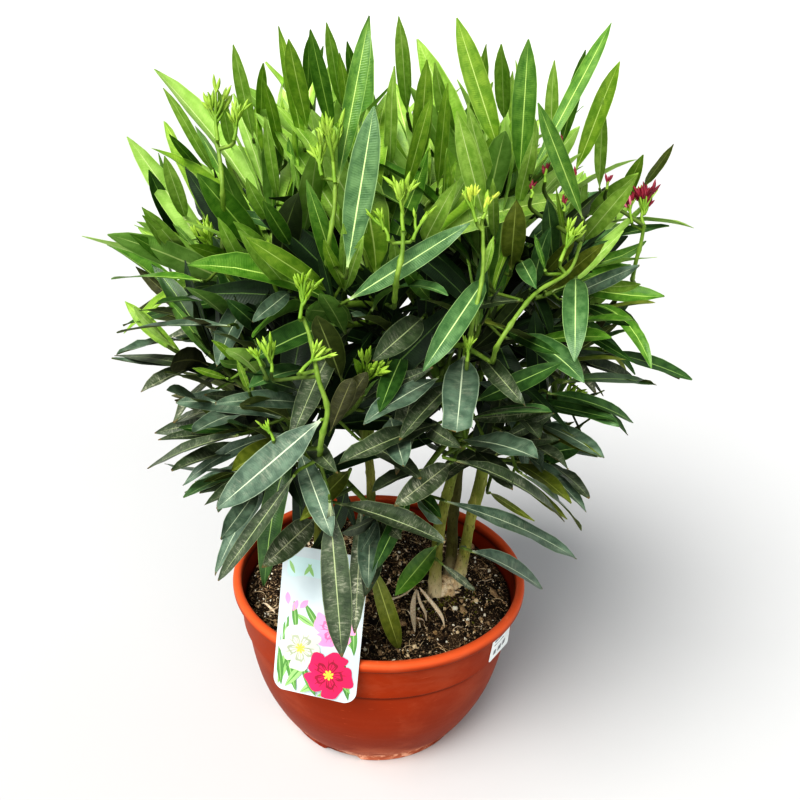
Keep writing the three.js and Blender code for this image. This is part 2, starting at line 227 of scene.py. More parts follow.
# ------------------------------------------------------------------ materials
class Nodes:
    """A material's node tree, written as short calls."""

    def __init__(self, name, rough=0.5, metal=0.0, spec=0.5):
        self.mat = bpy.data.materials.new(name)
        self.mat.use_nodes = True
        self.t = self.mat.node_tree
        self.t.nodes.clear()
        self.out = self.new("OutputMaterial")
        self.b = self.new("BsdfPrincipled")
        self.b.inputs["Roughness"].default_value = rough
        self.b.inputs["Metallic"].default_value = metal
        self.b.inputs["Specular IOR Level"].default_value = spec
        self.link(self.b.outputs[0], self.out.inputs["Surface"])

    def new(self, kind):
        return self.t.nodes.new("ShaderNode" + kind)

    def link(self, a, b):
        self.t.links.new(a, b)

    def put(self, socket, value):
        if isinstance(value, bpy.types.NodeSocket):
            self.link(value, socket)
        else:
            socket.default_value = value

    def math(self, op, a, b=0.0, c=None, clamp=False):
        n = self.new("Math")
        n.operation, n.use_clamp = op, clamp
        self.put(n.inputs[0], a)
        self.put(n.inputs[1], b)
        if c is not None:
            self.put(n.inputs[2], c)
        return n.outputs[0]

    def add(self, a, b):
        return self.math("ADD", a, b)

    def mul(self, a, b):
        return self.math("MULTIPLY", a, b)

    def step(self, x, low, high, to_low=0.0, to_high=1.0):
        """Smoothly from to_low at low to to_high at high."""
        n = self.new("MapRange")
        n.interpolation_type = "SMOOTHSTEP"
        self.put(n.inputs[0], x)
        n.inputs[1].default_value, n.inputs[2].default_value = low, high
        n.inputs[3].default_value, n.inputs[4].default_value = to_low, to_high
        return n.outputs[0]

    def mix(self, fac, a, b, blend="MIX"):
        n = self.new("Mix")
        n.data_type, n.blend_type, n.clamp_factor = "RGBA", blend, True
        self.put(n.inputs[0], fac)
        self.put(n.inputs[6], a)
        self.put(n.inputs[7], b)
        return n.outputs[2]

    def noise(self, vec, scale, detail=3.0, rough=0.55, distort=0.0, colour=False):
        n = self.new("TexNoise")
        self.link(vec, n.inputs["Vector"])
        n.inputs["Scale"].default_value = scale
        n.inputs["Detail"].default_value = detail
        n.inputs["Roughness"].default_value = rough
        n.inputs["Distortion"].default_value = distort
        return n.outputs["Color" if colour else "Fac"]

    def voronoi(self, vec, scale, feature="F1", out="Distance"):
        n = self.new("TexVoronoi")
        n.feature = feature
        self.link(vec, n.inputs["Vector"])
        n.inputs["Scale"].default_value = scale
        return n.outputs[out]

    def place(self):
        return self.new("TexCoord").outputs["Object"]

    def scaled(self, vec, by, move=(0, 0, 0)):
        n = self.new("Mapping")
        self.link(vec, n.inputs["Vector"])
        n.inputs["Scale"].default_value = by
        n.inputs["Location"].default_value = move
        return n.outputs[0]

    def split(self, vec):
        n = self.new("SeparateXYZ")
        self.link(vec, n.inputs[0])
        return n.outputs

    def uv(self, name):
        n = self.new("UVMap")
        n.uv_map = name
        return n.outputs[0]

    def bump(self, height, strength, distance, normal=None):
        n = self.new("Bump")
        n.inputs["Strength"].default_value = strength
        n.inputs["Distance"].default_value = distance
        self.link(height, n.inputs["Height"])
        if normal is not None:
            self.link(normal, n.inputs["Normal"])
        return n.outputs[0]

    def done(self, colour=None, rough=None, normal=None, **plain):
        if colour is not None:
            self.put(self.b.inputs["Base Color"], colour)
        if rough is not None:
            self.put(self.b.inputs["Roughness"], rough)
        if normal is not None:
            self.link(normal, self.b.inputs["Normal"])
        for k, v in plain.items():
            self.b.inputs[k.replace("_", " ")].default_value = v
        return self.mat


# ------------------------------------------------------------------ the pot
RIM_TOP, RIM_ROLL, RIM_R, STEP_Z, WALL = 134.0, 7.5, 120.0, 97.0, 2.6
OUTSIDE = [(74, 6), (85.5, 15), (94.5, 32), (101.5, 50), (106.4, 72), (109.6, 96), (111.8, 98), (115.2, 126.5)]


def plastic():
    m = Nodes("terracotta_plastic", spec=0.15)
    p = m.place()
    x, y, z = m.split(p)[:3]
    broad = m.noise(m.scaled(p, (9, 9, 14)), 1.0, 3, 0.6)
    fine = m.noise(p, 420.0, 3, 0.65)
    colour = m.mix(m.step(broad, 0.3, 0.72), srgb(138, 48, 6), srgb(152, 55, 9))
    # the rim is painted paler, a painted highlight where it faces the light, and the wall is painted darker low down,
    # painted shade where it turns down and away from the light
    colour = m.mix(m.step(z, 0.1275, 0.1330, 0, 0.85), colour, srgb(218, 102, 57))
    colour = m.mix(m.step(z, 0.105, 0.030, 0, 0.55), colour, srgb(112, 36, 3))
    # faint rings left by the mould's turning, and a paler bloom low on the wall and on the foot
    rings = m.noise(m.scaled(p, (2, 2, 260)), 1.0, 2, 0.5)
    colour = m.mix(m.mul(m.step(rings, 0.45, 0.7), 0.14), colour, srgb(152, 60, 16))
    low = m.step(z, 0.040, 0.002)
    patch = m.noise(m.scaled(p, (16, 16, 30), (3, 1, 0)), 1.0, 5, 0.7, 0.4)
    dust = m.mul(m.step(patch, 0.44, 0.68), m.add(m.mul(low, 0.60), 0.10))
    colour = m.mix(dust, colour, srgb(206, 138, 108))
    # a crust of pale dust along the foot
    crust = m.noise(m.scaled(p, (70, 70, 120), (0, 4, 9)), 1.0, 5, 0.75, 0.3)
    crust = m.mul(m.step(crust, 0.50, 0.62), m.step(z, 0.022, 0.009))
    colour = m.mix(m.mul(crust, 0.8), colour, srgb(226, 178, 152))
    # painted shadow: a dark band under the rim and under the ledge
    rim_shadow = m.mul(m.step(z, 0.1235, 0.1262), m.step(z, 0.1280, 0.1266))
    ledge = m.mul(m.step(z, 0.0915, 0.0950), m.step(z, 0.0982, 0.0970))
    colour = m.mix(m.mul(m.math("MAXIMUM", rim_shadow, ledge), 0.75), colour, srgb(80, 28, 8))
    # dry splashes of compost and water marks
    spots = m.voronoi(p, 95.0)
    where = m.noise(m.scaled(p, (20, 20, 20), (7, 0, 2)), 1.0, 2)
    splash = m.mul(m.step(spots, 0.16, 0.08), m.step(where, 0.60, 0.70))
    colour = m.mix(m.mul(splash, 0.5), colour, srgb(112, 52, 26))
    # scuffs: short bright scratches round the wall
    round_ = m.math("ARCTAN2", y, x)
    c = m.new("CombineXYZ")
    m.link(m.mul(round_, 6.0), c.inputs[0])
    m.link(m.mul(z, 620.0), c.inputs[1])
    c.inputs[2].default_value = 0.0
    scratch = m.noise(c.outputs[0], 1.0, 4, 0.6, 0.6)
    scratch = m.mul(m.step(scratch, 0.655, 0.70), m.step(where, 0.40, 0.62))
    colour = m.mix(m.mul(scratch, 0.30), colour, srgb(222, 128, 90))
    rough = m.add(m.add(m.mul(fine, 0.10), 0.36), m.add(m.mul(dust, 0.35), m.mul(broad, 0.10)))
    height = m.add(m.mul(fine, 0.25), m.add(m.mul(scratch, -0.5), m.mul(rings, 0.5)))
    return m.done(colour, rough, m.bump(height, 0.22, 0.0006))


def rounded(points, radius, steps=5):
    """A profile with each inner corner rounded by up to a radius."""
    p = np.asarray(points, float)
    out = [p[0]]
    for i in range(1, len(p) - 1):
        a, b, c = p[i - 1], p[i], p[i + 1]
        r = min(radius, 0.42 * np.linalg.norm(b - a), 0.42 * np.linalg.norm(c - b))
        p0, p1 = b + unit(a - b) * r, b + unit(c - b) * r
        for t in np.linspace(0, 1, steps):
            out.append((1 - t) ** 2 * p0 + 2 * t * (1 - t) * b + t * t * p1)
    return np.array(out + [p[-1]])


wall_waves = Waves(3, 7, 8.0, 22.0)


def wall_wander(v):
    """How far the thin wall stands in or out of the true round, for points in millimetres."""
    return 1 + 0.0022 * wall_waves(v / 1000 * 2.0) * smooth(20, 120, v[..., 2])


def make_pot():
    heap = Heap()
    # foot ring, wall, step, rolled rim, inside wall and floor as one closed profile
    outer = [(r, z) for r, z in OUTSIDE]
    profile = [(0.5, 3.2), (73.0, 3.2), (73.0, 0.0), (78.0, 0.0), (78.2, 5.4)] + outer[0:0]
    foot = rounded(profile, 1.1)
    wall = smooth_profile([(78.2, 6.4), (85.5, 14.0), (94.6, 31.5), (101.6, 50), (106.5, 72), (109.4, 93.0)], 26)
    step = rounded([(109.4, 93.0), (109.5, 96.5), (112.6, 97.2), (112.7, 101)], 0.7, 5)
    upper = np.array([(112.7, 101.0), (113.6, 110), (114.6, 119), (115.1, 124.6)])
    rim = [(115.1, 124.6), (115.3, 126.0), (119.0, 126.2), (119.8, 127.3), (120.0, 130.4), (119.3, 132.7), (117.5, 133.9), (115.3, 134.0), (113.6, 133.2), (112.8, 131.6), (112.5, 126.5)]
    inner = [(112.4, 124.5), (109.8, 101), (107.0, 97.5), (106.6, 94), (103.9, 73.2), (98.9, 51.2), (91.9, 33.2), (82.9, 16.2), (70, 6.7), (0.5, 6.6)]
    prof = np.vstack([foot[:-1], wall[:-1], step[:-1], upper[:-1], rounded(rim, 1.2, 4), inner])

    def shape(v):
        # the four water notches in the foot ring, and a very slight wander of the thin wall
        r = np.hypot(v[..., 0], v[..., 1])
        a = np.degrees(np.arctan2(v[..., 1], v[..., 0]))
        at = (a + 90 + 17.5 + 45) % 90 - 45
        across = np.radians(at) * 76
        cut = smooth(15.5, 12.5, np.abs(across)) * (r > 71) * (r < 79) * (v[..., 2] < 4.4)
        v = v.copy()
        v[..., 2] = np.where(cut > 0, np.maximum(v[..., 2], 3.6 * cut), v[..., 2])
        k = wall_wander(v)
        v[..., 0] *= k
        v[..., 1] *= k
        return v * MM

    lathe(heap, prof, 256, 0, shape=shape)
    return heap.piece("pot_shell", [plastic()], ["pot"], "pot_plastic")


def smooth_profile(points, n):
    p = np.array([(r, 0.0, z) for r, z in points])
    q = smooth_path(p, 1.0)
    i = np.linspace(0, len(q) - 1, n).round().astype(int)
    return q[i][:, [0, 2]]


# ------------------------------------------------------------------ the compost
def soil():
    m = Nodes("peat_compost", spec=0.25)
    p = m.place()
    broad = m.noise(p, 38.0, 4, 0.65)
    fine = m.noise(p, 700.0, 4, 0.7)
    cells = m.voronoi(p, 520.0)
    colour = m.mix(m.step(broad, 0.35, 0.7), srgb(26, 20, 15), srgb(76, 59, 43))
    colour = m.mix(m.mul(m.step(fine, 0.50, 0.66), 0.8), colour, srgb(196, 170, 136))
    height = m.add(m.mul(fine, 0.6), m.mul(cells, 0.8))
    return m.done(colour, m.add(m.mul(fine, 0.2), 0.78), m.bump(height, 0.9, 0.0012))


def crumb(name, a, b, rough=0.9):
    m = Nodes(name, spec=0.25)
    p = m.place()
    fine = m.noise(p, 900.0, 3, 0.7)
    colour = m.mix(m.step(fine, 0.35, 0.7), a, b)
    return m.done(colour, rough, m.bump(fine, 0.7, 0.0008))


def icosphere(level=0):
    g = (1 + 5**0.5) / 2
    v = [(-1, g, 0), (1, g, 0), (-1, -g, 0), (1, -g, 0), (0, -1, g), (0, 1, g), (0, -1, -g), (0, 1, -g), (g, 0, -1), (g, 0, 1), (-g, 0, -1), (-g, 0, 1)]
    f = [(0, 11, 5), (0, 5, 1), (0, 1, 7), (0, 7, 10), (0, 10, 11), (1, 5, 9), (5, 11, 4), (11, 10, 2), (10, 7, 6), (7, 1, 8), (3, 9, 4), (3, 4, 2), (3, 2, 6), (3, 6, 8), (3, 8, 9), (4, 9, 5), (2, 4, 11), (6, 2, 10), (8, 6, 7), (9, 8, 1)]
    v, f = [tuple(unit(x)) for x in v], list(f)
    for _ in range(level):
        mid, nf = {}, []

        def half(i, j):
            k = (min(i, j), max(i, j))
            if k not in mid:
                v.append(tuple(unit((np.array(v[i]) + np.array(v[j])) / 2)))
                mid[k] = len(v) - 1
            return mid[k]

        for a, b, c in f:
            ab, bc, ca = half(a, b), half(b, c), half(c, a)
            nf += [(a, ab, ca), (b, bc, ab), (c, ca, bc), (ab, bc, ca)]
        f = nf
    return np.array(v, float), np.array(f)


def turned(r, n):
    """n random rotations."""
    q = unit(r.normal(size=(n, 4)))
    w, x, y, z = q.T
    return np.stack([1 - 2 * (y * y + z * z), 2 * (x * y - z * w), 2 * (x * z + y * w), 2 * (x * y + z * w), 1 - 2 * (x * x + z * z), 2 * (y * z - x * w), 2 * (x * z - y * w), 2 * (y * z + x * w), 1 - 2 * (x * x + y * y)], -1).reshape(n, 3, 3)


SOIL_Z = 0.1150
soil_waves = Waves(21, 12, 18.0, 130.0)


def soil_height(x, y):
    """The compost's top: level on the whole, hummocky, drawn up a little round the stems."""
    p = np.stack([x, y, np.zeros_like(x)], -1)
    near = np.exp(-(((x - 0.060) ** 2 + (y - 0.0) ** 2) / 0.030**2))
    edge = smooth(0.088, 0.107, np.hypot(x, y))
    return SOIL_Z - 0.0012 + 0.0022 * soil_waves(p) + 0.003 * near - 0.0015 * edge


def scatter(heap, r, n, size, mats, weights, squash=(0.5, 1.0), level=0, sink=0.3, spread=None, long=1.0):
    base, f = icosphere(level)
    rad = 0.1075 * np.sqrt(r.uniform(0, 1, n)) if spread is None else spread[0]
    a = r.uniform(0, 2 * math.pi, n) if spread is None else spread[1]
    x, y = rad * np.cos(a), rad * np.sin(a)
    s = size[0] * (size[1] / size[0]) ** (r.uniform(0, 1, n) ** 2.2)
    v = base[None] * (1 + r.uniform(-0.22, 0.22, (n, len(base), 1)))
    v = v * np.stack([np.full(n, long), r.uniform(*squash, n), r.uniform(*squash, n)], -1)[:, None]
    v = np.einsum("nij,nkj->nki", turned(r, n), v) * s[:, None, None]
    z = soil_height(x, y) + s * (0.5 - sink)
    v = v + np.stack([x, y, z], -1)[:, None]
    faces = f[None] + (np.arange(n) * len(base))[:, None, None]
    mat = np.repeat(r.choice(mats, n, p=weights), len(f))
    heap.add(v.reshape(-1, 3), faces.reshape(-1, 3), mat)


# dry leaves lying from the stems' feet: foot, tip, half width and how high the foot stands
DRY = [((31, -18), (30, -63), 2.5, 7), ((33, -17), (53, -56), 2.1, 8), ((32, -18), (39, -49), 1.5, 6), ((31, -10), (3, -26), 1.2, 7), ((24, -38), (38, -52), 1.0, 2), ((-62, -30), (-88, -42), 1.7, 4), ((18, 62), (-14, 78), 1.9, 6), ((-40, 52), (-66, 60), 1.6, 5)]


def dry_blade(heap, r, foot, tip, wide, rise, mat):
    """A curled dry leaf lying on the compost, its foot a little raised."""
    s = np.linspace(0, 1, 12)
    way = tip - foot
    L = np.hypot(*way)
    along, side = way / L, np.array([-way[1], way[0]]) / L
    bow = r.normal(0, 0.10) * L * np.sin(s * math.pi) + r.normal(0, 0.03) * L * np.sin(2 * s * math.pi)
    px, py = foot[0] + way[0] * s + side[0] * bow, foot[1] + way[1] * s + side[1] * bow
    pz = soil_height(px, py) + 0.0016 + rise * (1 - s) ** 1.6 + 0.0010 * np.sin(s * 7 + r.uniform(0, 6)) * (0.3 + s)
    wid = wide * np.clip(np.sin(np.clip(s * 0.92 + 0.05, 0, 1) * math.pi) ** 0.7, 0.08, 1)
    roll = 0.5 * r.normal() + 1.1 * s * r.normal(0, 0.6)
    cup = wid * 0.55
    cr, sr = np.cos(roll), np.sin(roll)
    sx, sy = side[0] * cr, side[1] * cr
    left = np.stack([px + sx * wid, py + sy * wid, pz + wid * sr + cup], -1)
    right = np.stack([px - sx * wid, py - sy * wid, pz - wid * sr * 0.4 + cup], -1)
    mid = np.stack([px, py, pz], -1)
    half_l, half_r = (left + mid) / 2 - np.array([0, 0, 0.00012]), (right + mid) / 2 - np.array([0, 0, 0.00012])
    low = mid - np.array([0, 0, 0.00035])
    v = np.stack([left, half_l, mid, half_r, right, low], 1)
    heap.add(v.reshape(-1, 3), grid_faces(12, 6, True), mat)


def make_compost():
    heap = Heap()
    seg, rings = 220, 64
    rr = np.linspace(0.0004, 0.1092, rings)
    a = np.arange(seg) / seg * 2 * math.pi
    x, y = rr[:, None] * np.cos(a), rr[:, None] * np.sin(a)
    v = np.stack([x, y, soil_height(x, y)], -1)
    # down the inside of the wall to the floor of the bowl
    side = np.array([(109.1, 111), (105.8, 93), (103.2, 73.2), (98.2, 51.2), (91.2, 33.2), (82.2, 16.6), (69, 7.1), (0.4, 7.0)]) * MM
    w = np.stack([side[:, :1] * np.cos(a), side[:, :1] * np.sin(a), np.broadcast_to(side[:, 1:], (len(side), seg))], -1)
    allv = np.concatenate([v, w])[::-1]
    heap.add(allv.reshape(-1, 3), grid_faces(len(allv), seg, True), 0)
    r = np.random.default_rng(5)
    scatter(heap, r, 4600, (0.0006, 0.0026), [0, 1, 2, 3, 4, 6], [0.32, 0.33, 0.16, 0.10, 0.05, 0.04], squash=(0.35, 0.9))
    scatter(heap, r, 360, (0.0014, 0.0042), [0, 1, 2], [0.40, 0.35, 0.25], level=1, sink=0.35)
    scatter(heap, r, 620, (0.0005, 0.0013), [3, 4, 6], [0.35, 0.35, 0.30], sink=0.05, long=1.5)
    scatter(heap, r, 46, (0.0011, 0.0026), [4, 3], [0.6, 0.4], level=1, sink=0.1)  # grains of pale grit
    # moss about the stems' feet
    k = 260
    mx, my = 0.058 + r.normal(0, 0.013, k), -0.014 + r.normal(0, 0.012, k)
    scatter(heap, r, k, (0.0006, 0.0015), [7], [1.0], sink=0.1, spread=(np.hypot(mx, my), np.arctan2(my, mx)))
    mats = [soil(), crumb("peat_dark", srgb(22, 17, 13), srgb(54, 42, 32)), crumb("peat_brown", srgb(142, 117, 88), srgb(208, 180, 142)), crumb("bark_chip", srgb(218, 194, 154), srgb(248, 232, 200)), crumb("grit", srgb(244, 238, 216), srgb(255, 253, 244), 0.7)]
    # fibres, bits of twig and dry leaf litter lying about
    for i in range(210):
        rad, ang = 0.104 * math.sqrt(r.uniform()), r.uniform(0, 2 * math.pi)
        L, h = r.uniform(0.005, 0.019), r.uniform(0, 2 * math.pi)
        s = np.linspace(-0.5, 0.5, 7)
        bow, hook = r.normal(0, 0.5), r.normal(0, 1.2)
        px = rad * math.cos(ang) + L * (s * math.cos(h) - (bow * s * s + hook * s**3) * math.sin(h))
        py = rad * math.sin(ang) + L * (s * math.sin(h) + (bow * s * s + hook * s**3) * math.cos(h))
        if np.hypot(px, py).max() < 0.107:
            pz = soil_height(px, py) + 0.0007 + r.uniform(0, 0.0014) + 0.001 * np.cos(s * 4 + i)
            tube(heap, np.stack([px, py, pz], -1), r.uniform(0.00014, 0.00032), 4, int(r.choice([2, 3, 3, 6])), cap=False)
    for i in range(34):
        rad, ang = 0.098 * math.sqrt(r.uniform()), r.uniform(0, 2 * math.pi)
        L, h = r.uniform(0.007, 0.018), r.uniform(0, 2 * math.pi)
        foot = np.array([rad * math.cos(ang), rad * math.sin(ang)])
        tip = foot + L * np.array([math.cos(h), math.sin(h)])
        if np.hypot(*tip) < 0.104:
            dry_blade(heap, r, foot, tip, r.uniform(0.0006, 0.0014), 0.0, 5 if i % 3 else 3)
    # the long dry leaves that hang from the stems' feet to the front
    for foot, tip, wide, rise in DRY:
        dry_blade(heap, r, np.array(foot) * MM, np.array(tip) * MM, wide * MM, rise * MM, 5)
    mats.append(crumb("dry_leaf", srgb(232, 206, 170), srgb(255, 246, 228), 0.7))
    mats.append(crumb("fibre", srgb(150, 122, 84), srgb(196, 168, 124), 0.8))
    mats.append(crumb("moss", srgb(88, 90, 30), srgb(140, 138, 56), 0.9))
    return heap.piece("compost_body", mats, ["compost"], "compost")


# ------------------------------------------------------------------ stems and boughs
FOOT_Z = 115.35
def crown_skin():
    m = Nodes("root_crown_bark", spec=0.3)
    p = m.place()
    z = m.split(p)[2]
    broad = m.noise(p, 150.0, 4, 0.6)
    grain = m.noise(m.scaled(p, (1, 1, 0.55)), 560.0, 5, 0.7, 0.4)
    rings = m.noise(m.scaled(p, (0.3, 0.3, 3.2)), 210.0, 3, 0.6)
    colour = m.mix(m.step(broad, 0.35, 0.65), srgb(214, 188, 146), srgb(252, 238, 208))
    colour = m.mix(m.mul(m.step(rings, 0.54, 0.66), 0.55), colour, srgb(150, 112, 76))
    colour = m.mix(m.mul(m.step(grain, 0.54, 0.66), 0.65), colour, srgb(112, 80, 52))
    colour = m.mix(m.step(z, 0.119, 0.112, 0, 0.5), colour, srgb(104, 82, 56))
    height = m.add(m.mul(grain, 0.8), m.mul(rings, 0.6))
    return m.done(colour, 0.72, m.bump(height, 0.7, 0.0014))


STEMS = {
    "a": ([[47, -13, FOOT_Z], [45, -15, 160], [49, -17, 208], [54, -20, 246]], 4.9, 4.2, 2.4, 1.0),
    "b": ([[65.5, 1, FOOT_Z], [69, 2.5, 150], [75, 3, 200], [79, 2, 238]], 4.9, 4.2, 1.6, 1.0),
    "c": ([[60, 17, FOOT_Z], [60, 22, 170], [61, 27, 226]], 4.9, 4.1, 2.2, 1.0),
    "d": ([[-8, 43, FOOT_Z], [-10, 45, 160], [-15, 48, 222]], 4.8, 4.0, 2.0, 0.0),
    "e": ([[-46, -2, FOOT_Z], [-49, -6, 160], [-54, -12, 212]], 5.1, 4.2, 2.4, 0.0),
}
# Each bough from its fork to where it enters its mass, and the mass's axis.
BOUGHS = {
    "middle_2": ([[54, -20, 246], [53.3, -34.9, 267], [51.1, -52.2, 282.6], [42.4, -94, 298.7]], [0.225, -0.821, 0.525]),
    "upper_1": ([[54, -20, 246], [44.5, -30.8, 291.5], [30.5, -42.6, 329.6], [-9.9, -69, 384.7]], [0.016, -0.381, 0.925]),
    "middle_3": ([[79, 2, 238], [85.1, -8.4, 257.7], [91.7, -20.8, 273], [106.5, -51.5, 291]], [0.702, -0.407, 0.584]),
    "upper_2": ([[79, 2, 238], [78.4, -6.7, 283.1], [76.2, -16.9, 321.7], [67.1, -41.5, 380.5]], [0.262, -0.169, 0.95]),
    "middle_4": ([[61, 27, 226], [64.7, 33.9, 251.2], [69.1, 41.5, 272.5], [79.7, 58.5, 304]], [0.609, 0.581, 0.54]),
    "upper_3": ([[61, 27, 226], [63.1, 30.1, 272.3], [65.5, 32.4, 312.3], [70.6, 34.9, 374.9]], [0.192, 0.123, 0.974]),
    "top": ([[61, 27, 226], [48.2, 23.5, 283.9], [32.1, 17.2, 332.9], [-9.1, -3, 406.4]], [0.029, 0.006, 1.0]),
    "middle_5": ([[-15, 48, 222], [-12, 59.4, 248.6], [-7.4, 72.9, 270.2], [6, 105.4, 299.4]], [0.092, 0.863, 0.496]),
    "middle_6": ([[-15, 48, 222], [-24.9, 52.5, 245.7], [-36.2, 57.6, 265.1], [-62.8, 69.3, 291.6]], [-0.59, 0.624, 0.513]),
    "upper_4": ([[-15, 48, 222], [-11.6, 52.9, 269.5], [-6.1, 58, 310.4], [10.8, 68.9, 373.6]], [0.0, 0.328, 0.945]),
    "upper_5": ([[-15, 48, 222], [-25.2, 48.7, 269.2], [-36.2, 48.7, 309.6], [-60.6, 46.8, 371.4]], [-0.195, 0.2, 0.96]),
    "middle_1": ([[-54, -12, 212], [-55.5, -31.7, 245], [-55.9, -54.2, 270.9], [-53.7, -106.7, 302.8]], [-0.346, -0.838, 0.422]),
    "middle_7": ([[-54, -12, 212], [-64.2, -14.8, 243.3], [-75.5, -16.8, 269.7], [-101.2, -18.8, 308.8]], [-0.775, -0.25, 0.58]),
    "upper_6": ([[-54, -12, 212], [-60, -18.6, 265.2], [-65.4, -24.4, 311.3], [-74.9, -33.9, 382.9]], [-0.249, -0.164, 0.955]),
}


def bark():
    m = Nodes("stem_bark", spec=0.35)
    p = m.place()
    z = m.split(p)[2]
    along = m.scaled(p, (1, 1, 0.32))
    broad = m.noise(m.scaled(p, (1, 1, 0.5)), 60.0, 4, 0.6)
    grain = m.noise(along, 520.0, 5, 0.7, 0.3)
    fibre = m.noise(m.scaled(p, (1, 1, 0.08)), 900.0, 3, 0.6)
    spots = m.voronoi(p, 300.0)
    # grey-beige and corky at the foot, olive higher up, green where the boughs are young
    old = m.mix(m.step(broad, 0.35, 0.65), srgb(186, 168, 120), srgb(242, 228, 192))
    mid = m.mix(m.step(broad, 0.35, 0.65), srgb(112, 120, 50), srgb(160, 160, 84))
    young = m.mix(m.step(broad, 0.35, 0.65), srgb(78, 108, 30), srgb(106, 134, 44))
    high = m.add(z, m.mul(m.add(broad, -0.5), 0.09))
    colour = m.mix(m.step(high, 0.124, 0.150), old, mid)
    colour = m.mix(m.step(high, 0.195, 0.270), colour, young)
    colour = m.mix(m.mul(m.step(grain, 0.54, 0.66), 0.60), colour, srgb(66, 54, 32))
    colour = m.mix(m.mul(m.step(fibre, 0.6, 0.75), 0.3), colour, srgb(206, 190, 152))
    lenticel = m.mul(m.step(spots, 0.22, 0.12), m.step(broad, 0.4, 0.6))
    colour = m.mix(m.mul(lenticel, 0.4), colour, srgb(196, 178, 138))
    # darker at the very foot, and the stem behind is darker still: partly its older bark, partly painted shade where it
    # stands behind the others
    colour = m.mix(m.step(z, 0.121, 0.113, 0, 0.5), colour, srgb(84, 64, 46))
    x, y = m.split(p)[:2]
    # painted shade, with older bark: the stem standing behind the others is darkened
    behind = m.mul(m.mul(m.step(y, 0.010, 0.016), m.step(x, 0.030, 0.040)), m.step(z, 0.24, 0.21, 0, 0.72))
    colour = m.mix(behind, colour, srgb(58, 54, 26))
    height = m.add(m.mul(grain, 0.8), m.add(m.mul(fibre, 0.35), m.mul(lenticel, 0.3)))
    return m.done(colour, m.add(m.mul(grain, 0.2), 0.62), m.bump(height, 0.6, 0.0012))


def sprig_skin(name, a, b, c, rough=0.5):
    m = Nodes(name, spec=0.45)
    p = m.place()
    broad = m.noise(p, 90.0, 3, 0.6)
    fine = m.noise(m.scaled(p, (1, 1, 0.3)), 700.0, 3, 0.6)
    colour = m.mix(m.step(broad, 0.3, 0.7), a, b)
    colour = m.mix(m.mul(m.step(fine, 0.5, 0.75), 0.4), colour, c)
    return m.done(colour, m.add(m.mul(fine, 0.15), rough), m.bump(fine, 0.3, 0.0006))


def stem_relief(seed, amount):
    w, fine = Waves(seed, 8, 40.0, 190.0), Waves(seed + 1, 8, 260.0, 900.0)

    def relief(a, s, p):
        q = p * np.array([1, 1, 0.45])
        # leaf scars in threes, a couple of centimetres apart, turned by 60 degrees from ring to ring
        ring = np.round(s / 0.021)
        off = (s - ring * 0.021) / 0.0021
        lobe = np.cos(3 * (a + ring * math.pi / 3 + seed)) ** 1
        scar = np.exp(-off * off) * smooth(0.1, 1.0, lobe)
        return amount * (0.0007 * w(p) + 0.00028 * fine(q) + 0.0009 * scar)

    return relief


def make_stems():
    heap = Heap()
    skeleton = []
    for k, (name, (way, r0, r1, flare, old)) in enumerate(STEMS.items()):
        path = smooth_path(np.array(way) * MM, 0.0016)
        path[:, :2] += 0.0006 * np.stack([np.sin(path[:, 2] * 90 + k), np.cos(path[:, 2] * 70 + 2 * k)], -1) * smooth(0, 0.03, path[:, 2] - path[0, 2])[:, None]
        below = path[0] - np.array([0, 0, 0.004])
        t = np.linspace(0, 1, len(path))
        rad = (r0 + (r1 - r0) * t + flare * np.exp(-t * 9)) * MM
        path, rad = np.vstack([below, path]), np.r_[rad[0] * 1.03, rad]
        tube(heap, path, rad, 30, 0, stem_relief(31 + 2 * k, 1.0 if old else 0.75))
        skeleton.append((path, rad))
    for k, (name, (way, axis)) in enumerate(BOUGHS.items()):
        path = smooth_path(np.array(way) * MM, 0.0022)
        t = np.linspace(0, 1, len(path))
        rad = (3.8 + (2.9 - 3.8) * t) * MM
        tube(heap, path, rad, 16, 0, stem_relief(71 + 2 * k, 0.5))
        skeleton.append((path, rad))
    # the knobbly root crown between the three right-hand stems
    base, f = icosphere(5)
    for c, s, seed in (((0.0560, -0.0060, 0.1150), (0.0080, 0.0075, 0.0160), 5), ((0.0525, -0.0125, 0.1165), (0.0055, 0.0050, 0.0125), 8), ((0.0600, -0.0035, 0.1165), (0.0060, 0.0055, 0.0125), 9), ((0.0575, -0.0120, 0.1155), (0.0055, 0.0050, 0.0100), 12)):
        big, fine = Waves(seed, 9, 1.6, 6.0), Waves(seed + 40, 9, 9.0, 34.0)
        r = 1 + 0.15 * big(base) + 0.035 * fine(base * [1, 1, 0.6])
        v = np.array(c) + base * r[:, None] * np.array(s)
        heap.add(v, f, 1)
    nodes = ["stem_" + n for n in STEMS] + ["bough_" + n for n in BOUGHS] + ["root_crown"]
    heap.piece("stems_and_boughs", [bark(), crown_skin()], nodes, "bark")
    return skeleton


# ------------------------------------------------------------------ leaf skins
COLS, ROWS = 8, 4  # each leaf pattern has one cell of this grid, shared by all leaves of its kind
CELL_EDGE = 0.06


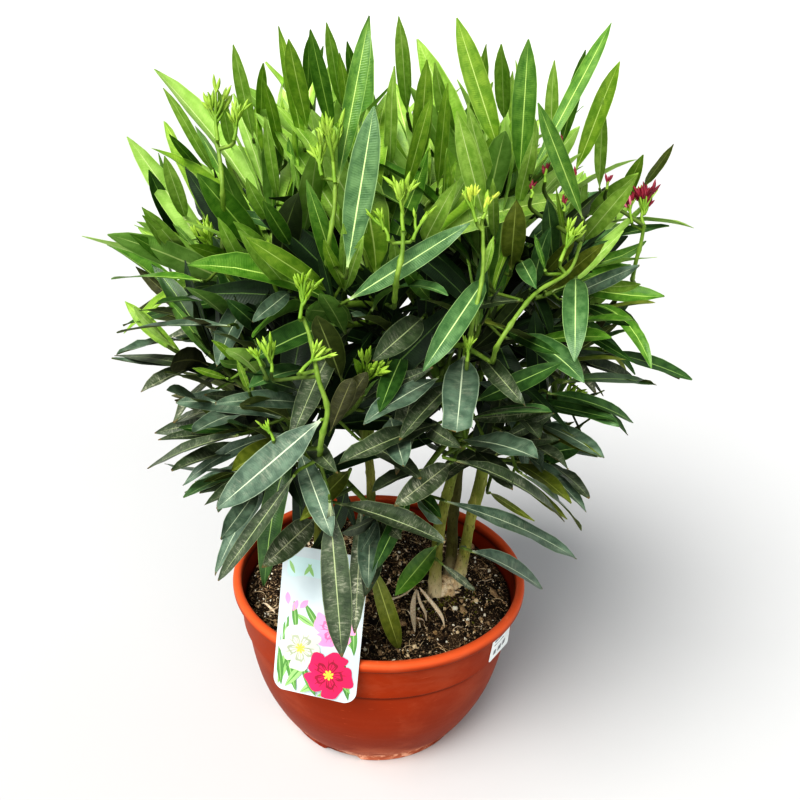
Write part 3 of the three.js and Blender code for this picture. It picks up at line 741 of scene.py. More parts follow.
def leaf_skin(name, dark, light, rib, dust=0.0, under=False, rough=0.42, rib_w=0.088, margin=None, brown=0.0, vein=1.0):
    """A leaf's surface, by its own length and width: midrib, side veins, mottling, and on old leaves a bloom of dust and lime."""
    m = Nodes(name, spec=0.5)
    uv = m.uv("leaf")
    ux, uy = m.split(uv)[:2]
    cx = m.math("FRACT", m.mul(ux, COLS))
    cy = m.math("FRACT", m.mul(uy, ROWS))
    side = m.mul(m.add(cx, -0.5), 2.0 / (1 - 2 * CELL_EDGE))
    x = m.math("ABSOLUTE", side)
    y = m.mul(m.add(cy, -CELL_EDGE), 1.0 / (1 - 2 * CELL_EDGE))
    flat = m.scaled(uv, (COLS, ROWS * 4.5, 1))
    mottle = m.noise(flat, 2.6, 4, 0.6, 0.3)
    fine = m.noise(flat, 16.0, 3, 0.6)
    # side veins leave the midrib steeply and run close together to the edge
    wob = m.mul(m.add(m.noise(flat, 5.0, 2), -0.5), 0.9)
    ph = m.add(m.mul(y, 66.0 * 2 * math.pi), m.mul(m.add(x, m.mul(wob, 0.35)), -9.0))
    veins = m.mul(m.add(m.math("SINE", ph), 1.0), 0.5)
    veins = m.math("POWER", veins, 2.2)
    strong = m.mul(veins, m.step(x, 0.98, 0.55))
    colour = m.mix(m.step(mottle, 0.30, 0.70), dark, light)
    if vein:
        pale = tuple(min(1, c * 1.28 + 0.012) for c in light[:3]) + (1.0,)
        colour = m.mix(m.mul(m.mul(strong, m.step(mottle, 0.35, 0.6, 0.35, 1.0)), 0.15 * vein), colour, pale)
    # a slightly paler band beside the midrib, darker towards the edges, and a thin pale margin
    colour = m.mix(m.step(x, 0.30, 0.05, 0, 0.22), colour, light)
    edge = margin or tuple(c * 0.72 for c in dark[:3]) + (1.0,)
    colour = m.mix(m.step(x, 0.62, 0.94, 0, 0.34), colour, edge)
    lined = tuple(0.55 * a + 0.45 * b for a, b in zip(light[:3], rib[:3])) + (1.0,)
    colour = m.mix(m.mul(m.step(x, 0.925, 0.965, 0, 0.62), m.step(y, 0.06, 0.16)), colour, lined)
    grow_dust = 0.0
    if dust:
        blot = m.noise(flat, 1.7, 3, 0.6, 0.5)
        streak = m.noise(m.scaled(uv, (COLS * 0.9, ROWS * 17, 1), (3, 5, 0)), 3.4, 3, 0.65, 0.5)
        speck = m.noise(m.scaled(uv, (COLS * 3.0, ROWS * 14, 1), (1, 2, 0)), 6.0, 3, 0.75)
        film = m.add(m.mul(m.step(streak, 0.47, 0.66), 0.8), m.mul(m.step(speck, 0.54, 0.68), 0.6))
        film = m.mul(m.add(film, 0.12), m.step(blot, 0.36, 0.62, 0.10, 1.0))
        film = m.mul(film, m.step(x, 1.05, 0.10, 0.30, 1.0))
        film = m.math("MINIMUM", m.mul(film, dust), 0.82)
        colour = m.mix(film, colour, srgb(190, 190, 168))
        grow_dust = film
    w = m.add(m.mul(y, -0.55 * rib_w), rib_w)
    ribf = m.math("SUBTRACT", 1.0, m.math("DIVIDE", x, w), clamp=True)
    ribf = m.step(ribf, 0.0, 0.38)
    ribf = m.mul(ribf, m.step(y, 1.0, 0.80, 0.25, 1.0))
    colour = m.mix(m.mul(ribf, 0.96 if not under else 0.85), colour, rib)
    # the leaf stalk and the leaf's foot are paler
    colour = m.mix(m.step(y, 0.11, 0.02, 0, 0.8), colour, rib)
    if brown:
        tipn = m.add(y, m.mul(m.add(mottle, -0.5), 0.14))
        colour = m.mix(m.step(tipn, 1.0 - 0.05 * brown, 1.0 - 0.02 * brown), colour, srgb(112, 96, 60))
    r = m.add(m.mul(fine, 0.14), rough - 0.04)
    if dust:
        r = m.math("MINIMUM", m.add(r, m.mul(grow_dust, 0.45)), 0.95)
    height = m.add(m.mul(strong, 0.26 if not under else 0.2), m.mul(mottle, 0.8))
    height = m.add(height, m.mul(ribf, 0.9 if under else -0.9))
    return m.done(colour, r, m.bump(height, 0.5, 0.0005))


# kinds of leaf surface: name, dark, light, midrib, and the rest as leaf_skin takes it
TOPS = {
    "fresh": (srgb(134, 176, 64), srgb(178, 210, 106), srgb(220, 240, 168), {"rough": 0.40}),
    "bright": (srgb(106, 148, 38), srgb(148, 180, 66), srgb(206, 228, 138), {"rough": 0.40}),
    "mid": (srgb(68, 114, 32), srgb(108, 147, 58), srgb(190, 216, 124), {"rough": 0.36}),
    "sea": (srgb(60, 98, 52), srgb(98, 132, 82), srgb(196, 220, 150), {"rough": 0.38}),
    "olive": (srgb(92, 106, 28), srgb(128, 138, 54), srgb(182, 192, 108), {"rough": 0.44, "dust": 0.1}),
    "deep": (srgb(38, 70, 28), srgb(64, 98, 44), srgb(154, 182, 106), {"rough": 0.34}),
    "old": (srgb(41, 56, 35), srgb(70, 86, 58), srgb(164, 176, 132), {"dust": 0.4, "rough": 0.36, "brown": 0.4, "rib_w": 0.075}),
    "grey": (srgb(70, 91, 75), srgb(106, 128, 108), srgb(202, 214, 184), {"dust": 0.3, "rough": 0.34, "brown": 0.2, "rib_w": 0.07}),
    # inner: painted shade, a darker copy of the deep leaf for leaves deep inside the crown
    "inner": (srgb(18, 40, 16), srgb(34, 58, 26), srgb(92, 120, 62), {"rough": 0.42}),
    "dusty": (srgb(50, 65, 41), srgb(80, 96, 65), srgb(182, 188, 148), {"dust": 1.0, "rough": 0.44, "brown": 0.8, "rib_w": 0.07}),
}
UNDERS = {
    "fresh_under": (srgb(150, 190, 84), srgb(178, 212, 116), srgb(222, 238, 170), {}),
    "mid_under": (srgb(98, 138, 54), srgb(126, 162, 80), srgb(192, 214, 136), {}),
    # the underside of the inner leaves, also painted shade
    "shaded_inner_under": (srgb(34, 48, 18), srgb(54, 68, 30), srgb(108, 124, 70), {}),
    "deep_under": (srgb(64, 78, 26), srgb(88, 100, 44), srgb(168, 180, 108), {}),
    "old_under": (srgb(66, 68, 36), srgb(94, 96, 56), srgb(172, 172, 116), {"dust": 0.25}),
}
UNDER_OF = {"fresh": "fresh_under", "bright": "fresh_under", "mid": "mid_under", "sea": "mid_under", "olive": "deep_under", "deep": "deep_under", "inner": "shaded_inner_under", "old": "old_under", "grey": "deep_under", "dusty": "old_under"}
KINDS = list(TOPS) + list(UNDERS)
KIND = {k: i for i, k in enumerate(KINDS)}
# cells: two patterns for each kind of surface
CELLS = {k: [2 * i, 2 * i + 1] for k, i in KIND.items()}


def leaf_skins():
    out = []
    for k, (a, b, rib, more) in TOPS.items():
        out.append(leaf_skin("leaf_" + k, a, b, rib, **more))
    for k, (a, b, rib, more) in UNDERS.items():
        out.append(leaf_skin("leaf_" + k, a, b, rib, under=True, rough=0.6, rib_w=0.10, vein=0.5, **more))
    return out


# ------------------------------------------------------------------ leaf shapes
ROW = np.array([0.0, 0.03, 0.07, 0.14, 0.24, 0.36, 0.48, 0.60, 0.71, 0.81, 0.90, 0.965, 1.0])
FORM = np.array([0.085, 0.085, 0.17, 0.43, 0.76, 0.94, 1.0, 1.0, 0.93, 0.77, 0.50, 0.21, 0.02])


PLAIN = np.array([0.0, 0.035, 0.10, 0.22, 0.38, 0.56, 0.73, 0.87, 0.96, 1.0])


def leaf_rows(q, row=ROW):
    """Centre lines and frames of many leaves at once: q holds arrays of the leaves' numbers."""
    n = len(q["L"])
    t = row[None, :]
    d0 = unit(q["d"])
    n0 = across_of(q["n"], d0)
    s0 = np.cross(d0, n0)
    phi = q["bend"][:, None] * t ** q["curl"][:, None]
    psi = q["sway"][:, None] * np.sin(t * math.pi * q["turns"][:, None])
    tau = q["twist"][:, None] * t**1.3
    c, s = np.cos(phi)[..., None], np.sin(phi)[..., None]
    d = c * d0[:, None] - s * n0[:, None]
    nn = c * n0[:, None] + s * d0[:, None]
    ss = np.broadcast_to(s0[:, None], d.shape)
    c, s = np.cos(psi)[..., None], np.sin(psi)[..., None]
    d, ss = c * d + s * ss, -s * d + c * ss
    c, s = np.cos(tau)[..., None], np.sin(tau)[..., None]
    nn, ss = c * nn + s * ss, c * ss - s * nn
    step = np.diff(row)[None, :, None] * q["L"][:, None, None]
    p = np.zeros((n, len(row), 3))
    p[:, 1:] = np.cumsum(0.5 * (d[:, 1:] + d[:, :-1]) * step, 1)
    p += q["p"][:, None]
    p[..., 2] -= q["droop"][:, None] * q["L"][:, None] * t**2
    return p, d, nn, ss


def leaf_mesh(heap, q, row=ROW):
    """Adds leaves as closed two-faced blades: a folded top, an underside with its ridge, and a tapering foot and tip."""
    p, d, nn, ss = leaf_rows(q, row)
    form = np.interp(row, ROW, FORM)
    n = len(p)
    half = 0.5 * q["W"][:, None] * form[None] * (1 + q["lop"][:, None] * (row[None] - 0.5))
    cut = q["blunt"][:, None]
    half = np.where(cut > 0, np.maximum(half, 0.5 * q["W"][:, None] * cut * smooth(0.5, 0.8, row)[None] * smooth(1.02, 0.96, row)[None]), half)
    half = np.maximum(half, 0.00035)
    fold = q["fold"][:, None] * smooth(0.0, 0.2, row)[None] * (1 - 0.35 * row[None])
    u = np.array([-1.0, -0.5, 0.0, 0.5, 1.0])
    w = half[..., None] * u
    lift = np.abs(w) * np.sin(fold)[..., None] + (half[..., None] * 0.10 * q["cup"][:, None, None]) * (u * u)
    flat = w * np.cos(fold)[..., None]
    ph, k = q["phase"][:, None], q["waves"][:, None]
    wave = q["wave"][:, None] * np.sin(2 * math.pi * k * row[None] + ph) * smooth(0.05, 0.4, row)[None]
    wave2 = q["wave"][:, None] * np.sin(2 * math.pi * k * 1.13 * row[None] + ph * 1.7 + 1.9) * smooth(0.05, 0.4, row)[None]
    ripple = np.stack([wave, 0.35 * wave, 0 * wave, 0.35 * wave2, wave2], -1)
    top = p[:, :, None] + flat[..., None] * ss[:, :, None] + (lift + ripple)[..., None] * nn[:, :, None]
    thick = np.minimum(0.00035, half * 0.6)
    stalk = smooth(0.16, 0.03, row)[None] * q["W"][:, None] * 0.055
    ridge = thick * 1.6 * (1 - 0.7 * row[None]) + stalk
    low = top[:, :, 1:4] - np.stack([thick + 0.3 * stalk, ridge, thick + 0.3 * stalk], -1)[..., None] * nn[:, :, None]
    v = np.concatenate([top, low], 2)  # 8 a row: 0-4 top, 5-7 underside
    rows = len(row)
    base = (np.arange(n) * rows * 8)[:, None, None]
    r = (np.arange(rows - 1) * 8)[None, :, None]
    tl, tr = np.array([0, 1, 2, 3]), np.array([1, 2, 3, 4])
    # s = d x n points to the leaf's right seen from above with its tip away, so columns run left to right
    topf = np.stack([base + r + tl, base + r + tr, base + r + 8 + tr, base + r + 8 + tl], -1)
    chain = np.array([0, 5, 6, 7, 4])
    a, b = chain[:-1], chain[1:]
    lowf = np.stack([base + r + b, base + r + a, base + r + 8 + a, base + r + 8 + b], -1)
    us = (u + 1) / 2

    def cells(kind_cell, cols_a, cols_b, flip):
        cx, cy = (kind_cell % COLS)[:, None, None], (kind_cell // COLS)[:, None, None]
        e = CELL_EDGE
        ua, ub = us[cols_a][None, None, :], us[cols_b][None, None, :]
        y0, y1 = row[:-1][None, :, None], row[1:][None, :, None]
        ua, ub, y0, y1 = np.broadcast_arrays(ua, ub, y0, y1)
        X = lambda a_: (cx + e + (1 - 2 * e) * a_) / COLS
        Y = lambda a_: (cy + e + (1 - 2 * e) * a_) / ROWS
        first, second = (ub, ua) if flip else (ua, ub)
        return np.stack([np.stack([X(first), Y(y0)], -1), np.stack([X(second), Y(y0)], -1), np.stack([X(second), Y(y1)], -1), np.stack([X(first), Y(y1)], -1)], -2)

    c4 = np.array([0, 1, 2, 3])
    tuv = cells(q["cell_top"], c4, c4 + 1, False)
    luv = cells(q["cell_low"], c4, c4 + 1, True)
    # both faces are split along the same diagonal, so that a twisted blade's underside never shows through
    cut_top, cut_low = [0, 1, 2, 0, 2, 3], [0, 1, 3, 1, 2, 3]
    faces = np.concatenate([topf[..., cut_top], lowf[..., cut_low]], 2).reshape(-1, 3)
    uv = np.concatenate([tuv[..., cut_top, :], luv[..., cut_low, :]], 2).reshape(-1, 2)
    mats = np.stack([np.broadcast_to(q["top"][:, None, None], (n, rows - 1, 8)), np.broadcast_to(q["low"][:, None, None], (n, rows - 1, 8))], 2).reshape(-1)
    margin = np.zeros((n, rows, 8), bool)
    margin[:, :, 0] = margin[:, :, 4] = True
    heap.add(v.reshape(-1, 3), faces, mats, uv, margin.ravel())


FIELDS = ["p", "d", "n", "L", "W", "bend", "curl", "sway", "turns", "twist", "droop", "fold", "cup", "wave", "waves", "phase", "lop", "blunt", "kind"]


class Leaves:
    """The plant's leaves as rows of numbers, before they are made into meshes."""

    def __init__(self):
        self.rows = []

    def add(self, p, d, n, L, W, kind, bend=0.1, curl=1.4, sway=0.0, turns=1.0, twist=0.0, droop=0.0, fold=0.25, cup=0.5, wave=0.0006, waves=2.5, phase=0.0, lop=0.0, blunt=0.0):
        self.rows.append((p, d, n, L, W, bend, curl, sway, turns, twist, droop, fold, cup, wave, waves, phase, lop, blunt, kind))

    def table(self):
        q = {}
        for i, f in enumerate(FIELDS):
            col = [r[i] for r in self.rows]
            q[f] = np.array(col) if f != "kind" else np.array(col, object)
        return q


def pick(q, keep):
    return {k: v[keep] for k, v in q.items()}


# ------------------------------------------------------------------ how the plant grows
rng = np.random.default_rng(20)
leaves = Leaves()
twigs = []  # (path, radii, kind)
clusters = []  # (place, direction, kind, size)


def tilt(d, by, round_, up=UPV):
    """d leant over by an angle, towards a bearing round it."""
    d = unit(d)
    a = across_of(up if abs(np.dot(up, d)) < 0.98 else np.array([1.0, 0, 0]), d)
    b = np.cross(d, a)
    return unit(math.cos(by) * d + math.sin(by) * (math.cos(round_) * a + math.sin(round_) * b))


def shade_of(age, z, r):
    """The kind of leaf at a node: age counts nodes from the tip, z is the leaf's height, with chance."""
    old = age / 9.5 + 2.4 * (0.378 - z) / 0.19 + r.normal(0, 0.18)
    if old < -0.35:
        return r.choice(["fresh", "bright", "mid"], p=[0.40, 0.42, 0.18])
    if old < 0.1:
        return r.choice(["fresh", "bright", "mid", "sea", "deep"], p=[0.20, 0.34, 0.24, 0.12, 0.10])
    if old < 0.6:
        return r.choice(["bright", "mid", "sea", "deep", "grey", "old"], p=[0.10, 0.25, 0.14, 0.29, 0.14, 0.08])
    if old < 1.2:
        return r.choice(["olive", "mid", "deep", "old", "grey", "dusty"], p=[0.06, 0.05, 0.30, 0.24, 0.25, 0.10])
    return r.choice(["deep", "old", "grey", "dusty"], p=[0.16, 0.28, 0.30, 0.26])


SPREADS = np.radians([8, 14, 21, 29, 38, 47, 57, 67, 76, 84, 92])
LENGTHS = np.array([0.024, 0.046, 0.070, 0.086, 0.094, 0.097, 0.096, 0.092, 0.088, 0.084, 0.080])
SPACING = np.array([0.004, 0.006, 0.008, 0.010, 0.012, 0.014, 0.016, 0.018, 0.020, 0.021])


def grow_leaves(path, tangents, r, size=1.0, first=0, most=99, calm=1.0, skip=0.0, spin=None, droopy=1.0, top_spread=1.0, broad=1.0):
    """Whorls of three leaves down a shoot from its tip, turned by 60 degrees from whorl to whorl."""
    s = np.r_[0, np.cumsum(np.linalg.norm(np.diff(path, axis=0), axis=1))]
    at, i = s[-1], first
    spin = r.uniform(0, 2 * math.pi) if spin is None else spin
    tone = r.normal(0, 0.5)  # each spray leans a little to younger or older
    while at > 0.004 and i - first < most:
        k = min(i, 10)
        p = np.array([np.interp(at, s, path[:, j]) for j in range(3)])
        d = unit(np.array([np.interp(at, s, tangents[:, j]) for j in range(3)]))
        for j in range(3):
            if r.uniform() < skip + (0.08 if i > 5 else 0.0):
                continue
            spread = SPREADS[k] * r.uniform(0.8, 1.2) * top_spread
            ld = tilt(d, spread, spin + j * 2 * math.pi / 3 + r.normal(0, 0.18))
            L = LENGTHS[k] * size * r.uniform(0.80, 1.18)
            W = L * r.uniform(0.136, 0.186) * broad
            out = across_of(ld, d)
            n = across_of(d, ld)
            # older blades turn their faces to the light
            light = 0.25 + smooth(1, 6, k) * 0.5
            away = unit(np.array([p[0], p[1], 0.0]) + 1e-6)
            n = across_of((1 - light) * n + light * (UPV + 0.35 * away) + r.normal(0, 0.24, 3), ld)
            flat = math.sqrt(max(0.0, 1 - ld[2] ** 2))
            droop = droopy * (0.02 + 0.030 * max(0, k - 2)) * flat * r.uniform(0.3, 1.6)
            bend = math.radians(r.uniform(2, 18) + 2.6 * k) * r.choice([1, 1, 1, 1, -0.5]) * calm
            leaves.add(
                p + out * 0.0012, ld, n, L, W, shade_of(k + tone, p[2] + ld[2] * L * 0.6, r),
                bend=bend, curl=r.uniform(0.9, 2.2), sway=r.normal(0, 0.16), turns=r.uniform(0.5, 1.2), twist=r.normal(0, 0.40),
                droop=droop, fold=r.uniform(0.08, 0.55) * (1.0 if k < 6 else 0.7), cup=r.uniform(-0.6, 0.9), wave=r.uniform(0.0001, 0.0007) * (1 + 0.12 * k),
                waves=r.uniform(1.2, 3.4), phase=r.uniform(0, 6.28), lop=r.normal(0, 0.22),
            )
        at -= SPACING[min(i, 9)] * size * r.uniform(0.85, 1.25)
        spin += math.pi / 3
        i += 1


# The crown's rings of growing tips: how many, how far out, how high, their lean in degrees, bearing of the first, leaf size
# and how far the leaves stand off their shoot.
TIPS = [
    ("heart", 5, 0.034, 0.446, 4, 30, 1.24, 0.60),
    ("top", 11, 0.086, 0.440, 10, 250, 1.24, 0.62),
    ("shoulder", 16, 0.130, 0.398, 22, 264, 1.16, 0.74),
    ("inside", 8, 0.075, 0.352, 20, 280, 1.02, 0.90),
    ("side", 14, 0.146, 0.334, 46, 250, 1.00, 0.95),
    ("skirt", 11, 0.122, 0.266, 76, 262, 0.92, 1.0),
]


def bezier(a, ta, b, tb, step=0.005):
    k = np.linalg.norm(b - a)
    p = [a, a + ta * 0.38 * k, b - tb * 0.42 * k, b]
    t = np.linspace(0, 1, max(6, int(k / step)))[:, None]
    return (1 - t) ** 3 * p[0] + 3 * t * (1 - t) ** 2 * p[1] + 3 * t * t * (1 - t) * p[2] + t**3 * p[3]


def grow():
    """Every growing tip takes the nearest bough, curves up from it to its own place in the crown, and bears whorls of leaves down to its foot."""
    paths, tang = [], []
    for name, (way, axis) in BOUGHS.items():
        p = smooth_path(np.array(way) * MM, 0.004)
        paths.append(p)
        tang.append(unit(np.gradient(p, axis=0)))
    for name, (way, *_) in STEMS.items():
        p = smooth_path(np.array(way) * MM, 0.004)
        paths.append(p[-6:])
        tang.append(unit(np.gradient(p, axis=0))[-6:])
    load = [np.zeros(len(p)) for p in paths]
    for ring, count, out, high, lean, first, size, wide in TIPS:
        for i in range(count):
            r = np.random.default_rng(1000 + 37 * i + sum(map(ord, ring)))
            bearing = math.radians(first + i * 360 / count + r.normal(0, 6))
            o = np.array([math.cos(bearing), math.sin(bearing), 0])
            tip = o * out * r.uniform(0.90, 1.08) + UPV * (high + r.normal(0, 0.010))
            le = math.radians(lean + r.normal(0, 6))
            face = unit(math.sin(le) * o + math.cos(le) * UPV + r.normal(0, 0.07, 3))
            best = None
            for k, p in enumerate(paths):
                v = tip - p
                dist = np.linalg.norm(v, axis=1)
                cost = dist + 0.7 * np.maximum(0, p[:, 2] + 0.03 - tip[2]) + 0.012 * load[k] + 0.25 * np.abs(dist - 0.085)
                j = int(np.argmin(cost))
                if best is None or cost[j] < best[0]:
                    best = (cost[j], k, j)
            _, k, j = best
            load[k][max(0, j - 3) : j + 4] += 1
            start = unit(tang[k][j] * 0.6 + unit(tip - paths[k][j]) * 0.6)
            path = bezier(paths[k][j], start, tip, face)
            L = np.linalg.norm(np.diff(path, axis=0), axis=1).sum()
            thick = 0.0020 + 0.008 * min(L, 0.12)
            twigs.append((path, np.linspace(min(thick, 0.0028), 0.0012, len(path)), "bough" if ring in ("side", "skirt", "inside") else "green"))
            t = unit(np.gradient(path, axis=0))
            clusters.append((path[-1], t[-1], "green", r.uniform()))
            most = {"heart": 8, "top": 8, "shoulder": 8, "inside": 6, "side": 7, "skirt": 6}[ring]
            grow_leaves(path, t, r, size=size * r.uniform(0.92, 1.08), most=most, top_spread=wide, first=0 if ring != "skirt" else 1, droopy=1.0 if ring != "skirt" else 1.5, skip=0.02, broad=1.0 if high > 0.35 else 1.08)
    # a few old leaves still hang on the boughs themselves
    for k, (name, (way, axis)) in enumerate(BOUGHS.items()):
        r = np.random.default_rng(500 + k)
        p, t = paths[k], tang[k]
        a = len(p) // 3
        if len(p) - a > 4:
            grow_leaves(p[a:], t[a:], r, first=7, skip=0.30, most=4, size=0.95)


